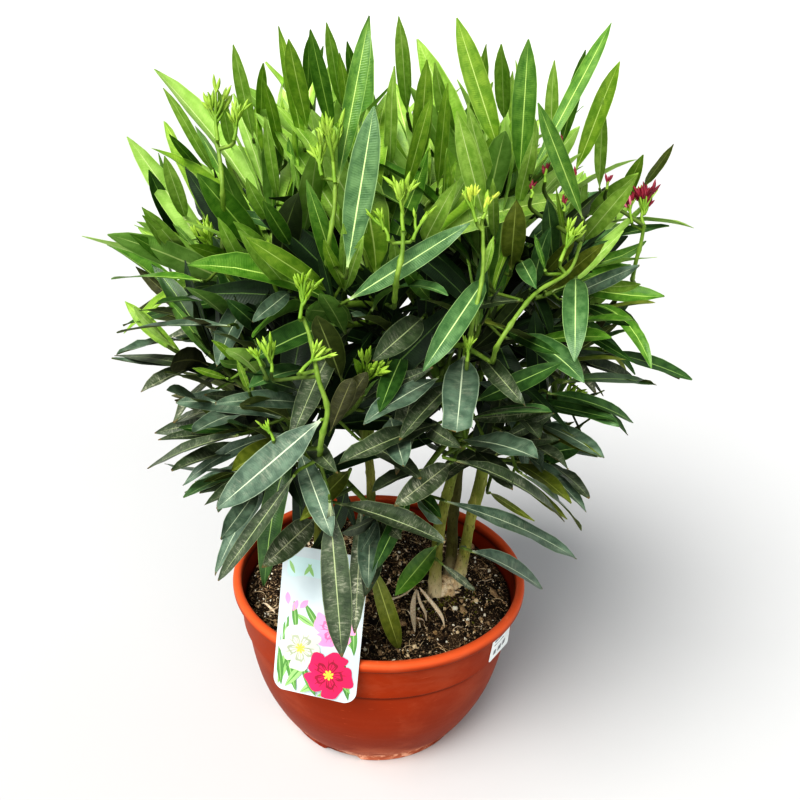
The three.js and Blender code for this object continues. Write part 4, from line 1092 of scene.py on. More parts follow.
# ------------------------------------------------------------------ leaves seen from the front
# Sprays at the front of the crown, leaf by leaf: foot, tip, the way the blade faces, width, kind,
# bend in degrees, and what else is special about it. Millimetres.
FRONT = [
    ((-90, -31, 471), (-90, -84, 525), (0.196, -0.98, 0.044), 8.7, "fresh", 6),
    ((-92, 3, 473), (-76, -55, 516), (0.173, -0.984, 0.048), 6.9, "bright", 6),
    ((-55, -50, 468), (-66, -83, 535), (0.142, -0.989, 0.038), 8.0, "bright", 10),
    ((-53, -53, 480), (-54, -109, 529), (0.132, -0.991, 0.033), 10.3, "bright", 6),
    ((-58, -12, 499), (-48, -75, 531), (0.122, -0.993, 0.01), 6.6, "mid", 4),
    ((-38, -46, 477), (-46, -96, 534), (0.106, -0.994, 0.03), 10.0, "mid", 5),
    ((-35, -20, 491), (-41, -76, 538), (0.094, -0.996, 0.012), 7.6, "fresh", 6),
    ((-28, -128, 459), (-14, -115, 541), (0.071, -0.996, 0.047), 10.4, "mid", 5, {"key": 1}),
    ((-20, -156, 421), (-9, -144, 500), (0.06, -0.988, 0.145), 15.2, "sea", 9, {"fold": 0.12, "key": 1}),
    ((7, -54, 492), (-2, -110, 541), (0.016, -1, 0.009), 8.6, "fresh", 6),
    ((15, -70, 463), (16, -119, 522), (-0.011, -0.998, 0.06), 10.6, "bright", 6, {"key": 1}),
    ((60, -90, 475), (30, -112, 542), (-0.076, -0.997, 0.026), 12.8, "bright", 8, {"key": 1}),
    ((54, -94, 439), (32, -135, 499), (-0.073, -0.991, 0.116), 11.9, "fresh", 6, {"key": 1}),
    ((59, -72, 448), (40, -122, 503), (-0.084, -0.992, 0.097), 10.2, "fresh", 6),
    ((15, -94, 414), (35, -146, 466), (-0.034, -0.983, 0.18), 10.0, "fresh", 8),
    ((67, -34, 489), (54, -93, 531), (-0.101, -0.995, 0.021), 9.5, "fresh", 5),
    ((73, -85, 461), (68, -105, 534), (-0.128, -0.991, 0.048), 13.5, "mid", 5, {"key": 1}),
    ((78, -93, 464), (124, -30, 548), (-0.179, -0.983, 0.029), 9.1, "mid", 10),
    ((120, -4, 457), (137, -34, 525), (-0.213, -0.976, 0.053), 11.7, "bright", 8),
    ((110, -96, 442), (74, -121, 504), (-0.177, -0.979, 0.103), 10.0, "mid", 6, {"key": 1}),
    ((139, 24, 424), (154, -36, 462), (-0.237, -0.962, 0.134), 13.0, "fresh", 8, {"key": 1}),
    ((157, 19, 426), (156, -38, 473), (-0.255, -0.959, 0.124), 9.8, "bright", 6),
    ((173, 15, 447), (168, -46, 482), (-0.282, -0.955, 0.098), 6.0, "olive", 8),
    ((154, 15, 423), (186, -54, 432), (0, -0.25, 1), 14.9, "bright", 14),
    ((-123, 7, 442), (-146, -42, 497), (0.257, -0.962, 0.09), 7.2, "fresh", 14, {"sway": 0.1}),
    ((-130, 3, 443), (-134, -60, 475), (0.258, -0.96, 0.111), 6.5, "mid", 8),
    ((37, -51, 467), (22, -103, 521), (-0.039, -0.998, 0.055), 8.9, "fresh", 5),
    ((-3, -52, 455), (1, -95, 518), (0.024, -0.997, 0.069), 7.9, "fresh", 6),
    ((7, -65, 446), (20, -112, 505), (-0.006, -0.995, 0.096), 8.3, "bright", 6),
    ((-24, -30, 468), (-29, -81, 524), (0.073, -0.996, 0.049), 7.6, "bright", 6),
    ((27, -62, 450), (28, -108, 511), (-0.037, -0.996, 0.084), 7.8, "bright", 6),
    ((100, -20, 460), (93, -59, 525), (-0.163, -0.985, 0.053), 8.5, "fresh", 5),
    ((143, 16, 444), (126, -26, 505), (-0.218, -0.973, 0.081), 8.5, "fresh", 6),
    ((-72, -21, 458), (-79, -77, 507), (0.165, -0.984, 0.072), 7.2, "bright", 8),
    ((46, -44, 472), (47, -92, 531), (-0.074, -0.997, 0.038), 8.5, "bright", 5),
    ((-20, -16, 480), (-26, -72, 530), (0.064, -0.998, 0.029), 7.7, "mid", 5),
    ((113, 20, 469), (114, -23, 532), (-0.181, -0.983, 0.035), 9.0, "mid", 6),
    ((-108, -10, 462), (-105, -71, 500), (0.22, -0.973, 0.074), 7.4, "fresh", 8),
    ((-138, -22, 416), (-133, -78, 464), (0.272, -0.95, 0.15), 9.8, "fresh", 8),
    ((-150, 3, 398), (-154, -41, 451), (0.284, -0.944, 0.167), 11.7, "deep", 6),
    ((-80, -64, 408), (-105, -115, 460), (0.211, -0.961, 0.177), 16.1, "mid", 8, {"key": 1}),
    ((-73, -76, 427), (-71, -137, 463), (0.176, -0.971, 0.162), 8.7, "fresh", 8),
    ((-59, -87, 417), (-63, -149, 453), (0.156, -0.97, 0.187), 9.6, "mid", 8),
    ((-27, -114, 402), (-41, -154, 465), (0.102, -0.975, 0.2), 10.8, "mid", 14, {"curl": 2.4, "key": 1}),
    ((-71, -58, 437), (-66, -112, 491), (0.162, -0.98, 0.117), 6.9, "fresh", 6),
    ((-135, -20, 385), (-149, -76, 434), (0.279, -0.939, 0.203), 10.1, "fresh", 8),
    ((-143, -18, 387), (-150, -78, 428), (0.287, -0.935, 0.207), 9.5, "fresh", 8),
    ((-134, -11, 376), (-161, -71, 414), (0.284, -0.932, 0.225), 12.1, "mid", 10),
    ((-110, -97, 396), (-181, -53, 382), (0, -0.25, 1), 13.9, "mid", 12),
    ((-100, -73, 365), (-109, -134, 402), (0, -0.25, 1), 18.1, "mid", 8, {"key": 1}),
    ((-89, -122, 377), (-167, -86, 358), (0, -0.25, 1), 14.2, "grey", 14),
    ((-145, -23, 333), (-169, -86, 342), (0, -0.25, 1), 14.0, "grey", 12),
    ((-75, -67, 393), (-114, -116, 435), (0, -0.25, 1), 15.6, "fresh", 26, {"curl": 1}),
    ((-87, -69, 389), (-92, -124, 439), (0.205, -0.954, 0.22), 8.6, "fresh", 8),
    ((-58, -91, 390), (-77, -147, 437), (0.17, -0.958, 0.232), 10.8, "fresh", 10, {"key": 1}),
    ((-34, -102, 394), (-72, -154, 435), (0.141, -0.962, 0.236), 12.1, "bright", 10, {"key": 1}),
    ((-57, -104, 394), (-66, -171, 395), (0.161, -0.946, 0.282), 9.6, "grey", 14),
    ((-78, -95, 350), (-91, -153, 383), (0, -0.25, 1), 15.3, "grey", 10),
    ((-43, -107, 347), (-68, -177, 362), (0, -0.25, 1), 17.2, "sea", 16, {"key": 1}),
    ((-110, -83, 321), (-122, -142, 354), (0, -0.25, 1), 12.6, "grey", 10),
    ((-104, -60, 374), (-129, -122, 387), (0, -0.25, 1), 14.4, "deep", 12),
    ((-98, -47, 396), (-112, -114, 420), (0.228, -0.948, 0.222), 8.4, "bright", 8),
    ((-68, -72, 403), (-82, -134, 439), (0.18, -0.961, 0.21), 8.4, "fresh", 10),
    ((-95, -77, 349), (-113, -133, 384), (0, -0.25, 1), 14.2, "old", 12),
    ((-77, -86, 363), (-85, -147, 399), (0.193, -0.936, 0.294), 10.6, "sea", 10),
    ((-20, -150, 403), (41, -158, 448), (-0, -0.974, 0.228), 11.3, "sea", 16, {"curl": 1, "key": 1}),
    ((-25, -106, 396), (-30, -165, 438), (0.086, -0.968, 0.236), 6.4, "bright", 6),
    ((-25, -106, 396), (-25, -162, 445), (0.08, -0.97, 0.228), 5.9, "fresh", 5),
    ((-25, -107, 396), (-10, -165, 440), (0.063, -0.97, 0.235), 6.9, "fresh", 6),
    ((54, -128, 413), (21, -189, 380), (-0.064, -0.953, 0.295), 13.0, "sea", 62, {"curl": 0.9, "wave": 0.0012, "key": 1}),
    ((-9, -106, 385), (31, -165, 412), (0, -0.25, 1), 13.7, "sea", 56, {"curl": 1}),
    ((21, -125, 388), (-4, -189, 384), (0.005, -0.948, 0.317), 15.6, "old", 18, {"key": 1}),
    ((1, -106, 374), (-16, -167, 400), (0, -0.25, 1), 16.9, "grey", 8, {"key": 1}),
    ((46, -123, 366), (40, -188, 347), (-0.074, -0.924, 0.375), 20.0, "grey", 16, {"blunt": 0.8, "fold": 0.12, "key": 1}),
    ((59, -110, 360), (75, -177, 359), (-0.125, -0.925, 0.358), 11.8, "old", 46, {"curl": 0.9, "wave": 0.0022, "waves": 3, "key": 1}),
    ((-24, -108, 371), (-32, -167, 411), (0, 0.9, 0.3), 12.7, "sea", 8, {"key": 1}),
    ((-24, -126, 348), (-34, -170, 400), (0, 0.9, 0.3), 15.0, "deep", 8, {"key": 1}),
    ((-17, -88, 406), (-25, -146, 450), (0.07, -0.976, 0.204), 7.1, "bright", 6),
    ((77, -108, 396), (35, -162, 401), (0, -0.25, 1), 15.3, "old", 14),
    ((52, -109, 377), (20, -161, 408), (0, -0.25, 1), 15.3, "deep", 20),
    ((26, -91, 389), (6, -154, 421), (-0.012, -0.967, 0.256), 8.8, "mid", 10),
    ((7, -94, 395), (0, -151, 438), (0.015, -0.973, 0.231), 8.2, "fresh", 8),
    ((90, -102, 367), (53, -162, 398), (0, -0.25, 1), 20.3, "olive", 10, {"key": 1}),
    ((-29, -141, 322), (-14, -184, 373), (0, 0.9, 0.3), 11.1, "old", 8, {"key": 1}),
    ((-25, -138, 328), (-7, -184, 376), (0, 0.9, 0.3), 11.4, "old", 8, {"key": 1}),
    ((73, -86, 408), (65, -142, 458), (-0.128, -0.973, 0.192), 13.3, "olive", 6, {"key": 1}),
    ((128, -15, 412), (143, -70, 462), (-0.232, -0.96, 0.156), 12.3, "fresh", 10, {"key": 1}),
    ((112, -88, 406), (102, -159, 378), (-0.208, -0.938, 0.276), 14.5, "sea", 60, {"curl": 0.9, "key": 1}),
    ((74, -87, 366), (111, -154, 365), (0, -0.25, 1), 16.2, "sea", 44, {"curl": 1.1}),
    ((138, -24, 372), (165, -92, 352), (0, -0.25, 1), 11.0, "mid", 70, {"curl": 1.1}),
    ((153, -21, 338), (200, -71, 338), (0, -0.25, 1), 17.1, "deep", 14),
    ((105, -125, 354), (184, -58, 327), (0, -0.25, 1), 13.1, "deep", 12),
    ((54, -125, 338), (95, -161, 378), (-0.142, -0.922, 0.36), 11.8, "deep", 10, {"key": 1}),
    ((52, -112, 321), (91, -170, 353), (0, -0.25, 1), 20.7, "sea", 12, {"key": 1}),
    ((93, -69, 320), (141, -128, 329), (0, -0.25, 1), 17.5, "sea", 20, {"wave": 0.0014}),
    ((96, -128, 347), (155, -103, 321), (0, -0.25, 1), 12.6, "deep", 20),
    ((100, -79, 306), (132, -140, 313), (0, -0.25, 1), 14.7, "grey", 16),
    ((74, -99, 309), (108, -158, 314), (0, -0.25, 1), 15.0, "old", 18),
    ((113, -76, 275), (124, -142, 286), (0, -0.25, 1), 10.6, "old", 14),
    ((97, -77, 281), (124, -140, 275), (0, -0.25, 1), 12.1, "grey", 16),
    ((90, -75, 274), (114, -147, 285), (0, -0.25, 1), 14.4, "olive", 16),
    ((81, -152, 307), (130, -128, 251), (0, -0.25, 1), 11.7, "deep", 18),
    ((42, -166, 320), (109, -156, 279), (0, -0.25, 1), 15.8, "old", 34, {"curl": 1.1}),
    ((49, -119, 310), (86, -174, 327), (0, -0.25, 1), 21.6, "grey", 18, {"key": 1}),
    ((104, -50, 361), (143, -110, 387), (0, -0.25, 1), 17.4, "mid", 12),
    ((114, -40, 379), (150, -87, 413), (-0.231, -0.944, 0.237), 9.9, "grey", 12),
    ((131, -4, 354), (170, -62, 386), (0, -0.25, 1), 15.1, "olive", 12),
    ((102, -48, 386), (122, -107, 430), (-0.201, -0.954, 0.223), 10.1, "olive", 10),
    ((88, -71, 393), (92, -127, 440), (-0.167, -0.962, 0.218), 9.6, "sea", 8),
    ((98, -60, 336), (139, -118, 365), (0, -0.25, 1), 15.7, "olive", 14),
    ((86, -66, 355), (128, -125, 381), (0, -0.25, 1), 17.0, "mid", 12),
    ((-30, -177, 346), (-88, -178, 289), (0.158, -0.872, 0.463), 18.8, "grey", 10, {"fold": 0.1, "key": 1}),
    ((-79, -101, 260), (-89, -168, 263), (0.186, -0.839, 0.511), 12.5, "grey", 10, {"key": 1}),
    ((-47, -140, 308), (-22, -200, 288), (0.1, -0.864, 0.494), 14.3, "grey", 14, {"fold": 0.12, "key": 1}),
    ((-36, -127, 331), (-89, -167, 348), (0, -0.25, 1), 15.7, "grey", 22, {"curl": 1.2}),
    ((-105, -89, 306), (-120, -144, 344), (0, -0.25, 1), 16.9, "grey", 10),
    ((-86, -98, 313), (-103, -163, 327), (0, -0.25, 1), 17.3, "grey", 14, {"key": 1}),
    ((-69, -108, 299), (-84, -164, 336), (0, -0.25, 1), 14.7, "deep", 10),
    ((-83, -139, 316), (-144, -120, 281), (0, -0.25, 1), 13.4, "old", 18),
    ((-79, -96, 288), (-121, -149, 296), (0, -0.25, 1), 17.1, "old", 16),
    ((-97, -79, 257), (-116, -147, 277), (0, -0.25, 1), 15.1, "sea", 14),
    ((-45, -175, 311), (-92, -169, 235), (0.169, -0.831, 0.53), 10.4, "old", 22),
    ((-41, -113, 246), (-64, -177, 251), (0.126, -0.829, 0.544), 16.8, "dusty", 24, {"key": 1}),
    ((-41, -128, 306), (-20, -192, 322), (0.09, -0.884, 0.458), 11.3, "old", 40, {"curl": 1, "key": 1}),
    ((-25, -185, 302), (-15, -209, 217), (0.067, -0.81, 0.583), 16.0, "old", 20, {"fold": 0.18, "key": 1}),
    ((-5, -91, 201), (19, -77, 112), (0.006, -0.794, 0.608), 13.3, "olive", 16),
    ((43, -53, 191), (13, -123, 196), (-0.031, -0.821, 0.57), 14.2, "mid", 10, {"key": 1}),
    ((42, -137, 303), (10, -197, 307), (-0.035, -0.876, 0.48), 14.3, "dusty", 16, {"key": 1}),
    ((5, -126, 326), (14, -194, 329), (0.001, -0.9, 0.436), 15.3, "grey", 14, {"key": 1}),
    ((33, -151, 335), (-20, -193, 328), (0, -0.25, 1), 16.6, "old", 14, {"key": 1}),
    ((32, -132, 355), (-8, -187, 349), (0, -0.25, 1), 14.7, "grey", 14, {"wave": 0.0015, "key": 1}),
    ((32, -119, 316), (44, -183, 337), (-0.062, -0.902, 0.428), 10.4, "old", 60),
    ((40, -138, 278), (125, -137, 238), (0, -0.25, 1), 15.4, "grey", 22),
    ((61, -113, 227), (115, -92, 187), (0, -0.25, 1), 18.0, "grey", 18),
    ((45, -89, 199), (71, -75, 167), (-0.082, -0.814, 0.575), 5.9, "dusty", 14),
    ((-23, -152, 281), (39, -181, 276), (0, -0.25, 1), 16.9, "old", 18, {"key": 1}),
    ((-53, -98, 295), (-81, -168, 308), (0, -0.25, 1), 16.7, "olive", 14),
    ((-63, -93, 270), (-102, -150, 274), (0, -0.25, 1), 15.1, "old", 14),
    ((-20, -105, 278), (-42, -178, 284), (0.085, -0.865, 0.495), 12.1, "olive", 14, {"key": 1}),
    ((-13, -123, 309), (23, -181, 315), (0, -0.25, 1), 14.2, "old", 14),
    ((25, -116, 286), (-3, -176, 303), (0, -0.25, 1), 14.3, "old", 14),
    ((12, -111, 363), (0, -178, 352), (0, -0.25, 1), 12.8, "deep", 14, {"key": 1}),
    ((42, -121, 349), (11, -180, 337), (0, -0.25, 1), 12.9, "old", 14, {"key": 1}),
    ((73, -96, 328), (88, -162, 333), (0, -0.25, 1), 16.1, "old", 16, {"key": 1}),
    ((59, -104, 296), (75, -170, 305), (0, -0.25, 1), 12.6, "old", 16),
    ((152, 14, 362), (178, -54, 339), (0, -0.25, 1), 8.0, "sea", 80, {"curl": 1}),
    ((106, -113, 348), (180, -55, 329), (0, -0.25, 1), 9.8, "grey", 8),
    ((153, -11, 336), (194, -66, 337), (0, -0.25, 1), 8.7, "grey", 10),
    ((92, -79, 322), (138, -129, 331), (-0.207, -0.9, 0.383), 8.5, "deep", 14),
    ((101, -69, 302), (130, -139, 314), (-0.204, -0.887, 0.414), 7.5, "olive", 16),
    ((51, -117, 323), (90, -166, 351), (-0.131, -0.908, 0.399), 8.9, "dusty", -24),
    ((113, -64, 270), (127, -131, 280), (-0.205, -0.864, 0.459), 8.4, "deep", 14),
    ((92, -66, 260), (114, -139, 268), (-0.174, -0.859, 0.482), 6.6, "olive", 16),
    ((73, -90, 258), (92, -157, 279), (-0.142, -0.857, 0.495), 4.6, "olive", 20),
    ((127, -38, 360), (152, -101, 358), (-0.243, -0.921, 0.303), 5.9, "deep", 24),
    ((132, -30, 373), (146, -97, 381), (-0.242, -0.932, 0.27), 7.1, "deep", 16),
    ((145, -12, 381), (153, -79, 404), (-0.253, -0.939, 0.234), 8.4, "fresh", 8),
    ((75, -97, 300), (101, -155, 326), (-0.16, -0.891, 0.426), 9.4, "old", 16),
    ((73, -88, 371), (95, -152, 380), (-0.157, -0.938, 0.309), 7.4, "deep", 18),
    ((-72, -157, 351), (-76, -170, 374), (0.195, -0.911, 0.363), 3.9, "bright", 8),
    ((-88, -137, 350), (-102, -157, 364), (0.232, -0.904, 0.358), 4.1, "bright", 8),
    ((-56, -115, 317), (-75, -171, 350), (0, 0.9, 0.3), 14.3, "deep", 10),
    ((-131, -50, 356), (-143, -113, 381), (0, 0.9, 0.3), 13.1, "deep", 14),
    ((-51, -111, 334), (-71, -168, 367), (0.155, -0.916, 0.37), 9.4, "deep", 10),
    ((-77, -96, 320), (-97, -156, 346), (0.201, -0.899, 0.389), 8.7, "old", 12),
    ((98, -61, 402), (102, -123, 435), (-0.185, -0.96, 0.209), 8.1, "olive", 8),
    ((100, -76, 412), (81, -125, 456), (-0.169, -0.969, 0.182), 10.5, "deep", 6),
    ((81, -75, 411), (79, -150, 414), (-0.15, -0.961, 0.232), 10.4, "sea", 30, {"key": 1}),
    ((86, -131, 419), (77, -142, 441), (-0.163, -0.965, 0.207), 2.9, "mid", 6),
    ((110, -74, 409), (88, -123, 463), (-0.186, -0.966, 0.177), 3.2, "bright", 5),
    ((62, -83, 425), (52, -142, 468), (-0.103, -0.981, 0.162), 6.1, "fresh", 6, {"key": 1}),
    ((52, -136, 416), (54, -153, 441), (-0.1, -0.971, 0.216), 4.3, "fresh", 12),
    ((77, -63, 440), (70, -118, 490), (-0.133, -0.984, 0.116), 8.9, "fresh", 6),
]


# Fresh shoots at the front of the crown: points from their foot to their tip, and the radii there, in millimetres.
FRONT_SHOOTS = [
    ([(47, -143, 377), (46, -160, 396), (50, -152, 420), (49, -146, 442)], [1.3125, 1.25, 1.1, 0.95]),
    ([(60, -147, 372), (61, -163, 389), (78, -148, 410), (98, -133, 420), (105, -122, 434)], [1.365, 1.3, 1.15, 1.05, 0.9]),
    ([(-33, -163, 314), (-30, -181, 336), (-27, -180, 353), (-32, -178, 369), (-37, -172, 389), (-41, -168, 398)], [1.68, 1.6, 1.45, 1.3, 1.15, 1]),
    ([(5, -147, 403), (6, -165, 421), (8, -162, 432), (8, -158, 443)], [1.47, 1.4, 1.3, 1.1]),
    ([(-33, -129, 417), (-30, -147, 434), (-28, -143, 449), (-28, -138, 463)], [1.365, 1.3, 1.2, 1]),
    ([(-97, -93, 436), (-93, -109, 451), (-95, -102, 463), (-99, -93, 476)], [1.47, 1.4, 1.2, 1]),
    ([(166, -18, 389), (161, -37, 406), (162, -38, 418), (162, -39, 430)], [1.47, 1.4, 1.3, 1.1]),
]
KEYS = []


def front_leaves():
    for row in FRONT:
        foot, tip, face, width, kind, bend = row[:6]
        more = dict(row[6]) if len(row) > 6 else {}
        KEYS.append(bool(more.pop("key", 0)))
        foot, tip = np.array(foot) * MM, np.array(tip) * MM
        c = tip - foot
        c0 = unit(c)
        n = across_of(face, c0)
        b, curl = math.radians(bend), more.get("curl", 1.4)
        tt = np.linspace(0, 1, 60)
        ang = b * tt**curl
        x, y = np.cos(ang).mean(), -np.sin(ang).mean()
        size = math.hypot(x, y)
        off = math.atan2(y, x)
        d = math.cos(off) * c0 - math.sin(off) * n
        n2 = math.cos(off) * n + math.sin(off) * c0
        r = np.random.default_rng(abs(int(foot[0] * 1e4) * 31 + int(tip[2] * 1e4)) + 5)
        aged = kind in ("old", "grey", "dusty")
        loose = 0.0 if KEYS[-1] else 1.0
        base = {"curl": curl, "sway": r.normal(0, 0.04) * loose, "twist": r.normal(0, 0.08 + 0.20 * loose), "fold": r.uniform(0.12, 0.50 if aged else 0.36), "cup": r.uniform(-0.3, 0.6), "wave": r.uniform(0.0001, 0.0012 if aged else 0.0007), "waves": r.uniform(1.4, 3.0), "phase": r.uniform(0, 6.28), "lop": r.normal(0, 0.15)}
        base.update(more)
        leaves.add(foot, d, n2, np.linalg.norm(c) / size, width * MM, kind, bend=b, **base)
    return len(FRONT)


CAMERA = np.array([0.010328, -0.559468, 0.520487])


def near_lines(points, starts, ends, room, gap):
    """Whether each point is within room of one of the lines, and short of its end by gap."""
    hit = np.zeros(len(points), bool)
    for a, b in zip(starts, ends):
        d = b - a
        L = np.linalg.norm(d)
        d = d / L
        w = points - a
        s = w @ d
        far = np.linalg.norm(w - s[:, None] * d, axis=1)
        hit |= (far < room) & (s > 0.05) & (s < L - gap)
    return hit


# Where the crown is open right through: a point in each gap, and how wide it is either way, in millimetres.
GAPS = [
    (27, 0, 236, 8), (28, 0, 225, 8), (-22, 0, 213, 7), (-18, 0, 203, 7), (8, 0, 206, 8), (61, 0, 220, 7),
    (63, 0, 205, 8), (85, 0, 208, 8), (94, 0, 197, 8), (103, 0, 188, 7), (83, 0, 196, 7), (-66, 0, 295, 4),
    (-34, 0, 272, 4), (-15, 0, 256, 5), (177, 0, 387, 9), (177, 0, 358, 7), (204, 0, 339, 10), (137, 0, 294, 5),
    (181, 0, 294, 9), (148, 0, 278, 4), (174, 0, 259, 10), (154, 0, 233, 9), (180, 0, 226, 16), (174, 0, 200, 14),
    (155, 0, 190, 9), (121, 0, 203, 6), (167, 0, 183, 14), (142, 0, 170, 9), (-185, 0, 359, 8), (-191, 0, 292, 9),
    (-147, 0, 317, 6), (-119, 0, 300, 4), (-174, 0, 263, 9), (-196, 0, 238, 14), (-124, 0, 238, 4), (-178, 0, 198, 12),
    (-156, 0, 175, 10), (-104, 0, 171, 5), (-143, 0, 162, 9), (-177, 0, 315, 5), (-170, 0, 422, 9), (-139, 0, 418, 5),
    (-76, 0, 445, 5), (-115, 0, 516, 8), (-85, 0, 494, 5), (-32, 0, 520, 6), (-11, 0, 521, 6), (30, 0, 532, 6),
    (161, 0, 486, 8), (133, 0, 472, 6), (103, 0, 502, 6),
]


def envelope(p):
    """How far out of the crown's own outline a point lies, over 1 when it is outside."""
    r = np.hypot(p[..., 0], p[..., 1])
    z = p[..., 2]
    lim = np.interp(z, [0.10, 0.16, 0.20, 0.25, 0.31, 0.37, 0.45, 0.50, 0.55, 0.59], [0.140, 0.155, 0.170, 0.190, 0.207, 0.210, 0.202, 0.188, 0.160, 0.10])
    # the skirt is drawn in, most of all on the right
    lim = lim * (1 - smooth(0.31, 0.22, z) * (0.06 + 0.15 * np.clip(p[..., 0] / np.maximum(r, 1e-6), 0, 1)))
    return np.maximum(r / lim, z / 0.566)


# places that no grown leaf passes through, with their room in millimetres
CLEAR = [
    ((47, -84, 416), 4),
    ((88, -90, 417), 4),
]


def settle(q, fixed, key):
    """Shortens leaves that would reach past the crown's outline, and drops those that would pass through the pot, close the crown's gaps or hide the front sprays."""
    # some leaves stand out past the others, so that the crown's edge is ragged
    reach = np.random.default_rng(77).uniform(0.78, 1.02, len(q["L"]))
    for _ in range(4):
        p, *_rest = leaf_rows(q)
        over = envelope(p).max(1) / reach
        over = np.maximum(over, np.abs(p[..., :2]).max((1, 2)) / REACH)
        long = over > 1
        q["L"] = np.where(long & ~fixed, q["L"] * np.clip(1 - 1.3 * (over - 1), 0.55, 1), q["L"])
    p, *_rest = leaf_rows(q)
    over = np.maximum(envelope(p).max(1) / reach, np.abs(p[..., :2]).max((1, 2)) / REACH)
    r, z = np.hypot(p[..., 0], p[..., 1]), p[..., 2]
    into_rim = ((r > 0.104) & (r < 0.125) & (z < 0.139)).any(1)
    into_soil = ((r <= 0.104) & (z < 0.122)).any(1)
    into_wall = ((r < 0.122) & (r > 0.08) & (z < 0.128)).any(1)
    low = (z < 0.100).any(1)
    drop = (over > 1.06) | into_rim | into_soil | low | into_wall
    # the crown's outside is a little open, so that sky shows between its outer leaves
    thin = np.random.default_rng(78).uniform(0, 1, len(p))
    drop |= (envelope(p[:, -1]) > 0.80) & (thin < 0.12)
    tip = p[:, -1]
    drop |= (tip[:, 2] < 0.28) & (tip[:, 0] > 0.04) & (thin > 0.62)
    drop |= (tip[:, 2] < 0.42) & (tip[:, 0] > 0.09) & (envelope(tip) > 0.72) & (thin > 0.80)
    pts = p[:, 2:].reshape(-1, 3)
    if key.any():
        ends = p[key][:, [4, 6, 8, 10]].reshape(-1, 3)
        hide = near_lines(pts, np.broadcast_to(CAMERA, ends.shape), ends, 0.0075, 0.004).reshape(len(p), -1)
        drop |= hide.sum(1) >= 1
        ends = p[fixed & ~key][:, [5, 7, 9]].reshape(-1, 3)
        hide = near_lines(pts, np.broadcast_to(CAMERA, ends.shape), ends, 0.004, 0.006).reshape(len(p), -1)
        drop |= hide.sum(1) >= 2
    # and nothing hides the heads of buds and the shoots that bear them
    heads = [np.array(h[0]) * MM + np.array(h[1]) * 0.016 * h[2] for h in HEADS if h[3] != "bits"]
    stalks = [np.array(c) * MM for points, _ in FRONT_SHOOTS for c in points]
    for group, room, most in ((heads, 0.011, 1), (stalks, 0.006, 1)):
        ends = np.array(group)
        hide = near_lines(pts, np.broadcast_to(CAMERA, ends.shape), ends, room, 0.003).reshape(len(p), -1)
        drop |= hide.sum(1) >= most
    for place, room in CLEAR:
        drop |= (np.linalg.norm(pts - np.array(place) * MM, axis=1) < room * MM).reshape(len(p), -1).any(1)
    gaps = np.array(GAPS, float) * MM
    if len(gaps):
        far = CAMERA + (gaps[:, :3] - CAMERA) * 2.2
        for end, room in zip(far, gaps[:, 3]):
            drop |= near_lines(pts, CAMERA[None], end[None], room, 0.0).reshape(len(p), -1).any(1)
    return pick(q, ~drop | fixed), (~drop | fixed), fixed[~drop | fixed]


def link(pts, foot, d, thin=0.0009, kind="bough"):
    """A short curved twig from the nearest limb or shoot behind a foot, and into it along d."""
    v = pts - foot
    dist = np.linalg.norm(v, axis=1)
    inward = unit(foot - CAMERA)
    deep = v @ inward
    aside = np.sqrt(np.maximum(dist**2 - deep**2, 0))
    back = -(v @ d) / np.maximum(dist, 1e-6)
    cost = 1.7 * aside + 0.7 * np.abs(deep) + 1.5 * np.maximum(0, 0.004 - deep) + 0.5 * np.maximum(0, pts[:, 2] - foot[2]) - 0.25 * back * dist
    j = int(np.argmin(cost))
    if dist[j] < 0.003:
        return
    a = pts[j]
    pull = min(0.35 * dist[j], 0.014)
    sunk = foot + inward * min(0.55 * aside[j], 0.020) - d * pull * 0.5
    way = smooth_path([a, a + (sunk - a) * 0.5 + inward * min(0.2 * aside[j], 0.010), sunk, foot + d * 0.001], 0.004)
    r0 = min(0.0014, thin + 0.010 * dist[j])
    twigs.append((way, np.linspace(r0, thin, len(way)), "green" if dist[j] < 0.02 else kind))


def join_up(q, which, skeleton):
    """Stalks and twigs that carry the front's shoots, leaves and heads of buds on the limbs behind them."""
    pts = np.vstack([path for path, _ in skeleton])
    for points, radii in FRONT_SHOOTS:
        way = smooth_path(np.array(points) * MM, 0.003)
        d = unit(way[1] - way[0])
        rad = np.interp(np.linspace(0, 1, len(way)), np.linspace(0, 1, len(radii)), radii) * MM
        link(pts, way[0], d, rad[0] * 0.95)
        # nodes: the shoot swells a little where each ring of leaves sat
        s = np.r_[0, np.cumsum(np.linalg.norm(np.diff(way, axis=0), axis=1))]
        rad = rad * (1 + 0.42 * np.exp(-(((s + 0.006) % 0.016 - 0.008) / 0.0014) ** 2))
        twigs.append((way, rad, "green"))
        pts = np.vstack([pts, way])
    for i in np.where(which)[0]:
        link(pts, q["p"][i], q["d"][i])
    for place, d, size, colour, count in HEADS:
        link(pts, np.array(place) * MM, unit(np.array(d, float)), 0.0010)


# ------------------------------------------------------------------ buds
def bud_shape():
    """Profile of a pointed bud: swelling above its stalk, drawn out to a tip."""
    t = np.array([0, 0.08, 0.2, 0.38, 0.55, 0.72, 0.86, 0.95, 1.0])
    r = np.array([0.26, 0.42, 0.62, 0.9, 1.0, 0.82, 0.5, 0.24, 0.05])
    return t, r


